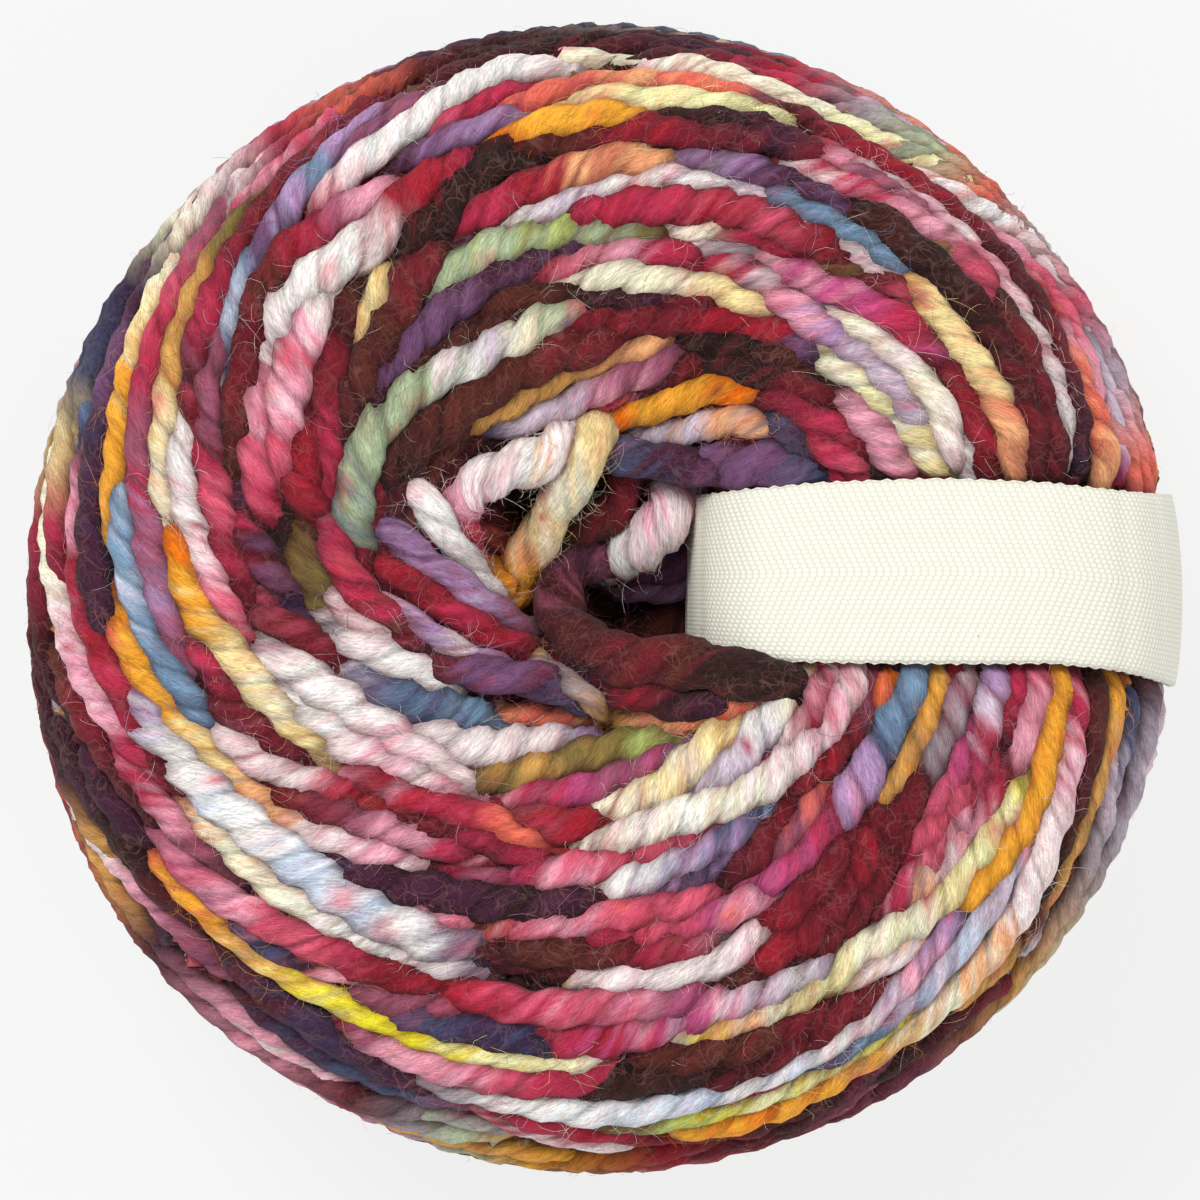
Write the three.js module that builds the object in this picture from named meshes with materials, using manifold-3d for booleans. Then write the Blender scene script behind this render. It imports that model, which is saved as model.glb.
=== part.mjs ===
// A yarn cake: chunky two-ply yarn wound into a squat drum with a hole down its middle, tied once
// round its wall with cotton tape. Millimetres, +Z up. The cake rests on its flat underside, with
// the origin under its middle, and the tape goes down the outside of the wall on the +X side.
import * as THREE from 'three';
import Module from 'manifold-3d';
import { mergeVertices } from 'three/addons/utils/BufferGeometryUtils.js';

// The wound body, without its ridges. The exponents shape the corners of the wall's section: 2 is an
// ellipse, and a larger number is squarer. The taut tape keeps the hole's mouth square beneath it.
const cake = {
  radius: 66,
  height: 82,
  crestRadius: 38,
  shoulder: 3.4,
  foot: 4.4,
  mouth: 2.8,
  mouthAtTape: 5.5,
  heel: 3.4,
};

// The hole for the winder's spindle lies a little off the axis, and the tape has pulled its +X side
// flat, so its plan is a rounded square.
const hole = { x: 1, y: 3, halfX: 9.8, halfY: 10.3, squareness: 3.6 };

// The turns of yarn, raised as ridges. One endless ridge runs through all of them, because each
// turn moves on by ridgesPerTurn, and that has no factor in common with ridges.
const winding = {
  ridges: 41,
  ridgesPerTurn: 10,
  pointsPerRidge: 3,
  pointsRound: 32,
  crest: 0.75,
  valley: 0.95,
  uneven: 0.45,
  pitchWall: 4.5,
  pitchUnder: 8.6,
  pitchHole: 9,
};

// Slow swells of the wound surface: how many fit round the axis and over the wall's section.
const swells = [
  { height: 0.3, round: 3, over: 2 },
  { height: 0.2, round: 5, over: -4 },
];

// The cake's own weight has pressed the turns under it into a flat ring, where it rests.
const underside = { sink: 0.85, ringRadius: 38, ringHalf: 6, fade: 7 };

const tape = {
  thickness: 1,
  widthAtHole: 18.8,
  widthOnTop: 20.2,
  widthAtRim: 21.2,
  offsetAtHole: 2.8,
  offsetAtRim: 1.3,
  lift: 1,
  aboveFloor: 0.35,
  gap: 0.35,
  stations: 44,
  columns: 2,
};
// The channel that the tape lies in reaches this far above the tape's outer face.
const channelDepth = 2.2;

// Outer turns that cross the others at a steeper angle and stand proud of them. An angle is in
// degrees round the axis from +X, and a climb is the distance up the wall's surface in
// millimetres: 0 at the middle of the outer wall, about 60 on the crest and 90 near the hole.
const crossings = [
  { fromAngle: 50, fromClimb: 69, toAngle: 108, toClimb: 81, half: 2.7, rise: 1.5 },
  { fromAngle: 48, fromClimb: 27, toAngle: 86, toClimb: 33, half: 3.4, rise: 1.5 },
  { fromAngle: 66, fromClimb: 40, toAngle: 98, toClimb: 44, half: 2.8, rise: 1.3 },
  { fromAngle: 94, fromClimb: 32, toAngle: 132, toClimb: 47, half: 2.9, rise: 1.6 },
  { fromAngle: 133, fromClimb: 25, toAngle: 176, toClimb: 43, half: 2.8, rise: 1.5 },
  { fromAngle: 158, fromClimb: 25, toAngle: 202, toClimb: 44, half: 2.8, rise: 1.3 },
  { fromAngle: 184, fromClimb: 59, toAngle: 244, toClimb: 71, half: 3.1, rise: 1.5 },
  { fromAngle: 205, fromClimb: 71, toAngle: 266, toClimb: 87, half: 3.0, rise: 1.6 },
  { fromAngle: 208, fromClimb: 38, toAngle: 262, toClimb: 46, half: 2.7, rise: 1.4 },
  { fromAngle: 268, fromClimb: 75, toAngle: 328, toClimb: 78, half: 3.2, rise: 1.5 },
  { fromAngle: 276, fromClimb: 34, toAngle: 350, toClimb: 45, half: 2.7, rise: 1.3 },
];
// A crossing turn comes up from under the others, and dives again, within about a seventh of its
// length at either end.
const diveSteepness = 2.2;

// The innermost turns are loose and sag across the hole's mouth, away from the tape.
const looseTurns = [
  {
    radius: 2.7,
    route: [[2.5, 21, 73], [-1.2, 16.8, 74.5], [-3.9, 10.6, 68.5], [-6.8, 6, 63], [-9.3, 1.4, 59], [-13, -1, 54]],
  },
  {
    radius: 2.4,
    route: [[8, 17, 60], [3.3, 12.8, 62.5], [-1.7, 8.9, 61.5], [-5.2, 4.9, 58.5], [-7.6, 0.4, 55], [-10.5, -4.5, 50]],
  },
  {
    radius: 2.7,
    route: [[-10, 10.5, 50], [-4.5, 6, 54.5], [-2.6, 1.2, 58], [-1.2, -3.6, 63], [2.4, -7.8, 70],
      [9, -9.9, 77], [16.6, -10.6, 80.5], [24, -9.5, 79]],
  },
  {
    radius: 2.3,
    route: [[-5, 9, 49], [1.4, 5.6, 55], [5, 6.6, 61.5], [6.4, 10, 65.5], [6.6, 15.5, 60]],
  },
];
const looseTurn = { sides: 8, stepsPerSpan: 2, flatness: 0.16, twistLength: 13 };

const yarnMaterial = new THREE.MeshStandardMaterial({ color: 0x7c3b49, roughness: 0.95, metalness: 0 });
const tapeMaterial = new THREE.MeshStandardMaterial({ color: 0xeceedd, roughness: 0.9, metalness: 0 });

const FULL_TURN = 2 * Math.PI;
const radians = THREE.MathUtils.degToRad;
const mix = THREE.MathUtils.lerp;
const signedPower = (value, power) => Math.sign(value) * Math.abs(value) ** power;

// A repeatable number from 0 to 1 for each whole number.
function chance(index) {
  const value = Math.sin(index * 12.9898 + 4.1) * 43758.5453;
  return value - Math.floor(value);
}

// The edge of the hole, seen from above, in the direction of an angle from the hole's own middle.
function holeEdge(angle) {
  const power = 2 / hole.squareness;
  return new THREE.Vector2(
    hole.x + hole.halfX * signedPower(Math.cos(angle), power),
    hole.y + hole.halfY * signedPower(Math.sin(angle), power),
  );
}

// A point of the plain body. turn goes once round the wall's section, from the middle of the outer
// wall over the top, down the hole and back under the cake, and angle goes round the axis.
function bodyPoint(turn, angle) {
  const across = Math.cos(turn);
  const up = Math.sin(turn);
  const outside = across > 0;
  const mouth = mix(cake.mouth, cake.mouthAtTape, Math.max(0, Math.cos(angle)) ** 2);
  const corner = up > 0 ? (outside ? cake.shoulder : mouth) : (outside ? cake.foot : cake.heel);
  const reach = Math.abs(across) ** (2 / corner);
  const middle = cake.height / 2;
  const down = up > 0 ? middle : middle + underside.sink;
  const plan = new THREE.Vector2(Math.cos(angle), Math.sin(angle)).multiplyScalar(cake.crestRadius);
  const target = outside
    ? plan.clone().multiplyScalar(cake.radius / cake.crestRadius)
    : holeEdge(angle);
  plan.lerp(target, reach);
  return new THREE.Vector3(plan.x, plan.y, middle + down * signedPower(up, 2 / corner));
}

// The outward direction of the plain body at the same point.
function bodyNormal(turn, angle) {
  const step = 1e-3;
  const round = bodyPoint(turn, angle + step).sub(bodyPoint(turn, angle - step));
  const over = bodyPoint(turn + step, angle).sub(bodyPoint(turn - step, angle));
  return round.cross(over).normalize();
}

// The section's length, measured on the -Y side where the hole is least pulled about. climbs holds
// the length from the middle of the outer wall to each sample, and shares the same in ridges.
const samples = 720;
const turns = [0];
const climbs = [0];
const shares = [0];
for (let i = 1; i <= samples; i++) {
  const turn = (i / samples) * FULL_TURN;
  const length = bodyPoint(turn, -Math.PI / 2).distanceTo(bodyPoint(turns[i - 1], -Math.PI / 2));
  const inHole = turn > radians(135) && turn < radians(225);
  const under = turn >= radians(225) && turn < radians(315);
  const pitch = inHole ? winding.pitchHole : under ? winding.pitchUnder : winding.pitchWall;
  turns.push(turn);
  climbs.push(climbs[i - 1] + length);
  shares.push(shares[i - 1] + length / pitch);
}

// The value of one rising list where another has the given value.
function lookUp(value, from, to) {
  let low = 0;
  let high = from.length - 1;
  while (high - low > 1) {
    const half = (low + high) >> 1;
    if (from[half] > value) high = half;
    else low = half;
  }
  return mix(to[low], to[high], (value - from[low]) / (from[high] - from[low]));
}

// How far a crossing turn stands out at a point, or minus infinity beside it.
function crossingHeight(crossing, degrees, climb) {
  const along = (degrees - crossing.fromAngle) / (crossing.toAngle - crossing.fromAngle);
  if (along < 0 || along > 1) return -Infinity;
  const middle = mix(crossing.fromClimb, crossing.toClimb, along);
  const away = Math.abs(climb - middle) / crossing.half;
  const dive = Math.min(1, Math.sin(along * Math.PI) * diveSteepness);
  return away > 1 ? -Infinity : crossing.rise * dive * Math.sqrt(1 - away * away) - (1 - dive);
}

// How far the wound surface stands out from a point of the plain body. Where the cake rests, the
// valleys between the turns are pressed shut.
function windingHeight(ridge, step, turn, angle, climb) {
  const around = angle / FULL_TURN;
  const own = chance(ridge % winding.ridges);
  const next = chance((ridge + winding.ridgesPerTurn) % winding.ridges);
  const uneven = (mix(own, next, around) - 0.5) * 2 * winding.uneven;
  const swell = swells.reduce((sum, s) => sum + s.height * Math.sin(s.round * angle + s.over * turn), 0);
  const base = bodyPoint(turn, angle);
  const fromRing = Math.abs(Math.hypot(base.x, base.y) - underside.ringRadius) - underside.ringHalf;
  const pressed = base.z > winding.valley ? 0 : 1 - THREE.MathUtils.smoothstep(fromRing, 0, underside.fade);
  const plain = step === 0 ? -winding.valley * (1 - pressed) : winding.crest + uneven;
  const degrees = THREE.MathUtils.radToDeg(angle);
  const proud = Math.max(...crossings.map((crossing) => crossingHeight(crossing, degrees, climb)));
  return Math.max(plain + swell, proud);
}

// The wound body before the tape's channel and the loose turns. Its rows follow the ridges, so one
// trip round the axis ends ridgesPerTurn ridges further up the section.
function windingGeometry() {
  const rows = winding.ridges * winding.pointsPerRidge;
  const columns = winding.pointsRound;
  const points = [];
  for (let j = 0; j < columns; j++) {
    const angle = (j / columns) * FULL_TURN;
    for (let i = 0; i < rows; i++) {
      const ridge = Math.floor(i / winding.pointsPerRidge);
      const moved = i + (winding.ridgesPerTurn * winding.pointsPerRidge * j) / columns;
      const share = ((moved / rows) % 1) * shares[samples];
      const turn = lookUp(share, shares, turns);
      const climb = lookUp(share, shares, climbs);
      const height = windingHeight(ridge, i % winding.pointsPerRidge, turn, angle, climb);
      const point = bodyPoint(turn, angle).addScaledVector(bodyNormal(turn, angle), height);
      point.z = Math.max(0, point.z);
      points.push(point);
    }
  }
  const shift = winding.ridgesPerTurn * winding.pointsPerRidge;
  const at = (i, j) => (j === columns ? (i + shift) % rows : j * rows + (i % rows));
  const faces = [];
  for (let j = 0; j < columns; j++) {
    for (let i = 0; i < rows; i++) {
      faces.push(at(i, j), at(i, j + 1), at(i + 1, j + 1));
      faces.push(at(i, j), at(i + 1, j + 1), at(i + 1, j));
    }
  }
  return geometryFrom(points, faces);
}

function geometryFrom(points, faces) {
  const geometry = new THREE.BufferGeometry();
  geometry.setAttribute('position', new THREE.Float32BufferAttribute(points.flatMap((p) => p.toArray()), 3));
  geometry.setIndex(faces);
  return geometry;
}

// One stretch of rings of equal length, joined side by side. A closed stretch joins its last ring
// to its first, and an open one gets a cap over each end.
function skin(rings, closed) {
  const sides = rings[0].length;
  const points = rings.flat();
  const faces = [];
  const last = closed ? rings.length : rings.length - 1;
  for (let k = 0; k < last; k++) {
    const here = k * sides;
    const there = ((k + 1) % rings.length) * sides;
    for (let i = 0; i < sides; i++) {
      const j = (i + 1) % sides;
      faces.push(here + i, here + j, there + j, here + i, there + j, there + i);
    }
  }
  if (!closed) {
    const end = (rings.length - 1) * sides;
    for (let i = 1; i < sides - 1; i++) {
      faces.push(0, i + 1, i, end, end + i, end + i + 1);
    }
  }
  return geometryFrom(points, faces);
}

// The line down the middle of the tape's outer face, in the XZ plane, clear of the floor.
function tapeLine() {
  const line = [];
  for (let k = 0; k < tape.stations; k++) {
    const turn = ((k + 0.5) / tape.stations) * FULL_TURN;
    const point = bodyPoint(turn, 0).addScaledVector(bodyNormal(turn, 0), tape.lift);
    line.push(new THREE.Vector2(point.x, Math.max(point.z, tape.aboveFloor)));
  }
  return line;
}

// A band that follows the tape from outer above its outer face to inner below it.
function tapeBand(outer, inner, margin) {
  const line = tapeLine();
  const holeX = hole.x + hole.halfX;
  const rings = line.map((point, k) => {
    const before = line[(k + line.length - 1) % line.length];
    const after = line[(k + 1) % line.length];
    const out = after.clone().sub(before).normalize();
    out.set(out.y, -out.x);
    const share = THREE.MathUtils.clamp((point.x - holeX) / (cake.radius - holeX), 0, 1);
    const width = share < 0.5
      ? mix(tape.widthAtHole, tape.widthOnTop, share * 2)
      : mix(tape.widthOnTop, tape.widthAtRim, share * 2 - 1);
    const offset = mix(tape.offsetAtHole, tape.offsetAtRim, share);
    const ring = [];
    for (const [depth, direction] of [[outer, 1], [-inner, -1]]) {
      for (let c = 0; c <= tape.columns; c++) {
        const across = direction * (c / tape.columns - 0.5) * (width + 2 * margin);
        const y = offset + across;
        const bow = (share * y * y) / (2 * cake.radius);
        const away = depth - bow;
        ring.push(new THREE.Vector3(point.x + out.x * away, y, point.y + out.y * away));
      }
    }
    return ring;
  });
  return skin(rings, true);
}

// A loose turn: a soft two-ply strand, a little flat across its plies and turning as it goes.
function looseTurnGeometry({ route, radius }) {
  const curve = new THREE.CatmullRomCurve3(route.map((point) => new THREE.Vector3(...point)));
  const steps = (route.length - 1) * looseTurn.stepsPerSpan;
  const frames = curve.computeFrenetFrames(steps, false);
  const length = curve.getLength();
  const rings = [];
  for (let k = 0; k <= steps; k++) {
    const centre = curve.getPointAt(k / steps);
    const twist = (-FULL_TURN * length * k) / steps / looseTurn.twistLength;
    const ring = [];
    for (let i = 0; i < looseTurn.sides; i++) {
      const around = (i / looseTurn.sides) * FULL_TURN;
      const reach = radius * (1 + looseTurn.flatness * Math.cos(2 * (around - twist)));
      ring.push(centre.clone()
        .addScaledVector(frames.normals[k], reach * Math.cos(around))
        .addScaledVector(frames.binormals[k], reach * Math.sin(around)));
    }
    rings.push(ring);
  }
  return skin(rings, false);
}

const wasm = await Module();
wasm.setup();

function toSolid(geometry) {
  const merged = mergeVertices(geometry);
  return new wasm.Manifold(new wasm.Mesh({
    numProp: 3,
    vertProperties: Float32Array.from(merged.attributes.position.array),
    triVerts: Uint32Array.from(merged.index.array),
  }));
}

function toGeometry(solid) {
  const mesh = solid.getMesh();
  const geometry = new THREE.BufferGeometry();
  geometry.setAttribute('position', new THREE.BufferAttribute(Float32Array.from(mesh.vertProperties), 3));
  geometry.setIndex(Array.from(mesh.triVerts));
  return geometry;
}

function yarnCakeGeometry() {
  let solid = toSolid(windingGeometry());
  for (const turn of looseTurns) solid = solid.add(toSolid(looseTurnGeometry(turn)));
  const channel = toSolid(tapeBand(channelDepth, tape.thickness + tape.gap, tape.gap));
  return toGeometry(solid.subtract(channel));
}

const yarnCake = new THREE.Mesh(yarnCakeGeometry(), yarnMaterial);
yarnCake.name = 'yarn_cake';

const tapeTie = new THREE.Mesh(tapeBand(0, tape.thickness, 0), tapeMaterial);
tapeTie.name = 'tape_band';

const part = new THREE.Group();
part.add(yarnCake, tapeTie);

export default part;
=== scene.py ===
import math

import bpy
import numpy as np
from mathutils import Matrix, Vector


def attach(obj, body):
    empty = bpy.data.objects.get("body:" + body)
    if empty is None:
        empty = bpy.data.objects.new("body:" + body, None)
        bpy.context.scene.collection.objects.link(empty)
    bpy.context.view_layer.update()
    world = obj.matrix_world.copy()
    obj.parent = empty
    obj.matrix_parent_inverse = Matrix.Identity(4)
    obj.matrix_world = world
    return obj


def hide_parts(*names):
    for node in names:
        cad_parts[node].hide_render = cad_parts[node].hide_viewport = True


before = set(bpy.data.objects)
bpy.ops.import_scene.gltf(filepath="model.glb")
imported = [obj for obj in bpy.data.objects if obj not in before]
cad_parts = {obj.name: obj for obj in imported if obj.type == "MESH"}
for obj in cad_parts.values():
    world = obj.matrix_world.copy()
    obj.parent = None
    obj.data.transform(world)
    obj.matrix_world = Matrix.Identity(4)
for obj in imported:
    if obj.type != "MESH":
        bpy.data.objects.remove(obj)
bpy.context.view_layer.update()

# A yarn cake: hand-dyed two-ply wool wound round an open centre, tied with cotton tape.
# Lengths are in millimetres until a mesh is built, and then become metres.
# A climb is the distance over the cake's surface from the middle of its outer wall, up over the top and into
# the hole: about 60 on the crest and 90 near the hole. Listed angles are in degrees round the axis from +X.

random = np.random.default_rng(41)
toMetres = 0.001
uvUnit = 10.0  # UV counts in centimetres along a strand, and both ways on the tape
noiseMiddle = 0.5  # a noise texture's middle value
bodyName = "root"

# Dyes, as they look in the light
dyes = {
    "darkBrown": (45, 30, 28), "brown": (84, 44, 38), "maroon": (76, 32, 38), "wine": (112, 38, 48),
    "crimson": (150, 44, 56), "raspberry": (172, 60, 84), "magenta": (182, 88, 130), "rose": (204, 100, 120),
    "mauve": (150, 90, 110), "pink": (226, 166, 182), "palePink": (234, 216, 216), "white": (238, 230, 226),
    "cream": (243, 228, 204), "butter": (242, 210, 160), "paleYellow": (245, 228, 178),
    "yellow": (236, 216, 84), "orange": (239, 166, 80), "deepOrange": (222, 124, 56),
    "peach": (236, 172, 132), "coral": (216, 116, 100), "tan": (200, 156, 98), "blue": (120, 146, 170),
    "paleBlue": (196, 208, 224), "slate": (76, 84, 112), "indigo": (60, 48, 74), "plum": (68, 38, 56),
    "purple": (112, 80, 112), "lilac": (172, 144, 180), "lavender": (198, 186, 200),
    "olive": (122, 108, 66), "sage": (166, 180, 150), "green": (176, 190, 120), "grey": (150, 140, 146),
}
darkDyes = "darkBrown maroon wine wine brown plum crimson maroon wine raspberry"
variedDyes = ("wine crimson maroon raspberry rose pink wine maroon brown plum crimson cream palePink "
              "orange tan butter purple lilac slate blue indigo peach coral white sage olive wine raspberry "
              "maroon mauve crimson")
dyeStrength = {"scale": 1.17, "contrast": 1.06, "vivid": 1.1, "least": 0.004, "most": 0.93}
dyeStopLength = 8.0  # a randomly dyed strand has a stop of colour about this far apart


def linearColour(rgb):
    # a screen colour from 0 to 255 becomes a linear one from 0 to 1
    c = np.array(rgb, float) / 255
    return np.where(c <= 0.04045, c / 12.92, ((c + 0.055) / 1.055) ** 2.4)


def dyed(rgb):
    c = dyeStrength["scale"] * linearColour(rgb) ** dyeStrength["contrast"]
    vivid = c.mean() + (c - c.mean()) * dyeStrength["vivid"]
    return np.clip(vivid, dyeStrength["least"], dyeStrength["most"])


dye = {name: dyed(rgb) for name, rgb in dyes.items()}


def dyeStops(words):
    # one stop of colour for a word, or as many as the number after its star
    stops = []
    for word in words.split():
        name, _, times = word.partition("*")
        stops += [dye[name]] * int(times or 1)
    return np.array(stops)


def randomDyes(centre, words, shortest, longest):
    # stops of colour for a strand along the centre line, each dye held for a random length
    length = np.linalg.norm(np.diff(centre, axis=0), axis=1).sum()
    names = words.split()
    stops = []
    at = 0.0
    while at < length:
        word = names[random.integers(len(names))]
        span = random.uniform(shortest, longest)
        stops += [dye[word]] * max(1, int(round(span / dyeStopLength)))
        at += span
    return np.array(stops)


def eased(low, high, value):
    t = np.clip((value - low) / (high - low), 0, 1)
    return t * t * (3 - 2 * t)


def unit(vectors):
    return vectors / np.maximum(np.linalg.norm(vectors, axis=-1, keepdims=True), 1e-9)


def lengthsAlong(points):
    # the distance from the first point to each of them
    return np.concatenate([[0], np.cumsum(np.linalg.norm(np.diff(points, axis=0), axis=1))])


# The cake's plain form, the same as its solid's
body = {
    "radius": 66.0, "height": 82.0, "crestRadius": 38.0,
    "shoulder": 3.4, "foot": 4.4, "mouth": 2.8, "mouthAtTape": 5.5, "heel": 3.4,
    "holeX": 1.0, "holeY": 3.0, "holeHalfX": 9.8, "holeHalfY": 10.3, "holeSquareness": 3.6,
    "holeSteps": 1440, "turnSteps": 2880, "normalStep": 2e-3, "edge": 0.999,
}
holeSteps = np.linspace(-np.pi, np.pi, body["holeSteps"] + 1)[:-1]
holePlan = [
    middle + half * np.sign(wave) * np.abs(wave) ** (2 / body["holeSquareness"])
    for middle, half, wave in (
        (body["holeX"], body["holeHalfX"], np.cos(holeSteps)),
        (body["holeY"], body["holeHalfY"], np.sin(holeSteps)),
    )
]
holeAngles = np.arctan2(holePlan[1], holePlan[0])
holeRadii = np.hypot(holePlan[0], holePlan[1])


def holeRadius(theta):
    return np.interp(theta, holeAngles, holeRadii, period=2 * np.pi)


def mouthCorner(theta):
    return body["mouth"] + (body["mouthAtTape"] - body["mouth"]) * np.maximum(0, np.cos(theta)) ** 2


def bodyPoint(turn, theta):
    # turn goes from the middle of the outer wall over the top, down the hole and back underneath
    turn, theta = np.broadcast_arrays(np.asarray(turn, float), np.asarray(theta, float))
    across, up = np.cos(turn), np.sin(turn)
    upper = np.where(across > 0, body["shoulder"], mouthCorner(theta))
    lower = np.where(across > 0, body["foot"], body["heel"])
    corner = np.where(up > 0, upper, lower)
    reach = np.abs(across) ** (2 / corner)
    crest = body["crestRadius"]
    outer = crest + reach * (body["radius"] - crest)
    inner = crest - reach * (crest - holeRadius(theta))
    rho = np.where(across > 0, outer, inner)
    z = body["height"] / 2 * (1 + np.sign(up) * np.abs(up) ** (2 / corner))
    return np.stack([rho * np.cos(theta), rho * np.sin(theta), z], axis=-1)


def bodyNormal(turn, theta):
    step = body["normalStep"]
    sideways = bodyPoint(turn, theta + step) - bodyPoint(turn, theta - step)
    over = bodyPoint(turn + step, theta) - bodyPoint(turn - step, theta)
    return unit(np.cross(sideways, over))


# Climb against turn, measured on the -Y side
turnSteps = np.linspace(0, 2 * np.pi, body["turnSteps"] + 1)
climbSteps = lengthsAlong(bodyPoint(turnSteps, np.full(turnSteps.shape, -np.pi / 2)))
wholeClimb = climbSteps[-1]


def turnOfClimb(climb):
    return np.interp(np.mod(climb, wholeClimb), climbSteps, turnSteps)


def turnAt(theta, rho):
    # the turn at a distance from the axis, on the upper side
    crest = body["crestRadius"]
    across = np.clip((rho - crest) / (body["radius"] - crest), 0, body["edge"])
    inside = np.clip((crest - rho) / (crest - holeRadius(theta)), 0, body["edge"])
    outer = np.arccos(across ** (body["shoulder"] / 2))
    return np.where(rho >= crest, outer, np.arccos(-inside ** (mouthCorner(theta) / 2)))


# The eye above the cake, and the height at which the places of what it sees are given
sight = {"eye": 820.0, "seenHeight": body["height"], "rounds": 6}


def sightScale(z):
    return (sight["eye"] - z) / (sight["eye"] - sight["seenHeight"])


def onSurface(seen):
    # from a place seen by the eye above the cake to a turn and an angle on its surface
    theta = np.arctan2(seen[:, 1], seen[:, 0])
    apparent = np.hypot(seen[:, 0], seen[:, 1])
    rho = apparent
    for _ in range(sight["rounds"]):
        rho = apparent * sightScale(bodyPoint(turnAt(theta, rho), theta)[:, 2])
    return turnAt(theta, rho), theta


# The tape: its form, and where it covers the turns and presses them down
tape = {
    "thickness": 0.95, "lift": 0.95, "aboveFloor": 0.4, "step": 0.7, "columns": 16, "lineSteps": 4000,
    "places": (10, 16, 24, 38, 50, 58, 66), "widths": (18.0, 19.3, 19.9, 20.2, 20.1, 20.4, 21.4),
    "offsets": (2.75, 2.8, 3.05, 3.2, 3.0, 2.2, 1.1), "widthOnTop": 20.1,
    "coverX": 8.0, "coverRadius": 9.0, "coverFrom": -0.6, "coverTo": 3.4,
    "edgeFrom": 0.42, "edgeTo": 0.5, "edgeThin": 0.12, "edgeCrowd": 0.035,
    "selvedge": 0.14, "selvedgePitch": 1.15, "selvedgeShift": 2, "drift": 0.18, "driftCount": 5,
    "waves": ((0.1, 37, 0.0), (0.06, 61, 1.3)), "waveAtMiddle": 0.6, "waveFrom": 0.5, "waveTo": 3.0,
    "waveLow": -0.2, "waveHigh": 0.05,
}
tapeHoleX = body["holeX"] + body["holeHalfX"]


def tapeShare(x):
    return np.clip((x - tapeHoleX) / (body["radius"] - tapeHoleX), 0, 1)


def tapeWidth(x):
    return np.interp(x, tape["places"], tape["widths"])


def tapeOffset(x):
    return np.interp(x, tape["places"], tape["offsets"])


def underTape(points):
    # 1 under the tape, falling to 0 a little way outside its edges
    x, y = points[:, 0], points[:, 1]
    beside = np.abs(y - tapeOffset(x)) - tapeWidth(x) / 2
    onSide = (x > tape["coverX"]) & (np.hypot(x, y) > tape["coverRadius"])
    return np.where(onSide, 1 - eased(tape["coverFrom"], tape["coverTo"], beside), 0)


# Strands: a route or centre line is a list of points, and a wave is the length of a slow change
def smoothRoute(points, step):
    # a smooth curve through the points, cut into even steps
    at = lengthsAlong(points)
    slopes = np.gradient(points, at, axis=0)
    wanted = np.linspace(0, at[-1], int(round(at[-1] / step)) + 1)
    i = np.clip(np.searchsorted(at, wanted, side="right") - 1, 0, len(at) - 2)
    span = (at[i + 1] - at[i])[:, None]
    t = (wanted - at[i])[:, None] / span
    return ((2 * t**3 - 3 * t**2 + 1) * points[i] + (t**3 - 2 * t**2 + t) * span * slopes[i]
            + (3 * t**2 - 2 * t**3) * points[i + 1] + (t**3 - t**2) * span * slopes[i + 1])


def noiseAt(lengths, count, wave):
    # smooth random values from -1 to 1 along a strand, one column for each of count, with knots to spare
    knots = random.uniform(-1, 1, (int(lengths[-1] / wave) + 4, count))
    at = np.arange(0, lengths[-1] + 1.0, 1.0) / wave
    i = at.astype(int)
    t = eased(0, 1, at - i)[:, None]
    everyMillimetre = knots[i] * (1 - t) + knots[i + 1] * t
    at = np.minimum(lengths, len(everyMillimetre) - 1.001)
    i = at.astype(int)
    t = (at - i)[:, None]
    return everyMillimetre[i] * (1 - t) + everyMillimetre[i + 1] * t


plies = {
    "radius": 2.12, "notch": 0.15, "notchPower": 3.6, "flat": 0.06, "pitch": 10.6, "pitchSpread": 1.5,
    "flatten": 0.84, "widen": 1.02, "girth": 1.25, "wander": 1.2, "swell": 0.1, "wanderWave": 14.0,
    "roughness": 0.035, "endThickness": 0.55, "endFrom": -0.5, "endTo": 3.5,
    "lineStep": 1.0, "fuzzAbove": 0.35, "fuzzFromEnd": 3.0, "uvShift": 40.0,
}
# How each strand is dyed, and the painted shade on its flanks
strandDyeAndShade = {
    "plyShift": 1.0, "uneven": 1.8, "unevenWave": 6.0,
    "bleed": 9.0, "bleedShare": 0.6, "bleedFrom": 0.05, "bleedTo": 0.75,
    "patchWave": 4.5, "broadPatch": 0.5, "broadPatchWave": 9.0,
    "light": 0.22, "lightWave": 4.0, "grain": 0.05, "darkest": 0.6, "lightest": 1.3,
    "flankShade": 0.6, "flankFrom": -0.35, "flankTo": 0.7, "stopFrom": 0.05, "stopTo": 0.95,
}
speckles = {
    "apart": 11.0, "least": 0.5, "most": 1.7, "longer": 1.7, "weakest": 0.3, "strongest": 0.95,
    "edge": 0.2, "onPale": 2.2, "dyes": "raspberry crimson rose wine coral purple raspberry rose",
}


def colourAlong(stops, at):
    # at is from 0 to 1 along the strand; each stop holds for a while and then turns to the next
    x = np.clip(at, 0, 1) * (len(stops) - 1)
    i = np.minimum(x.astype(int), max(len(stops) - 2, 0))
    t = eased(strandDyeAndShade["stopFrom"], strandDyeAndShade["stopTo"], x - i)[..., None]
    return stops[i] * (1 - t) + stops[np.minimum(i + 1, len(stops) - 1)] * t


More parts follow.
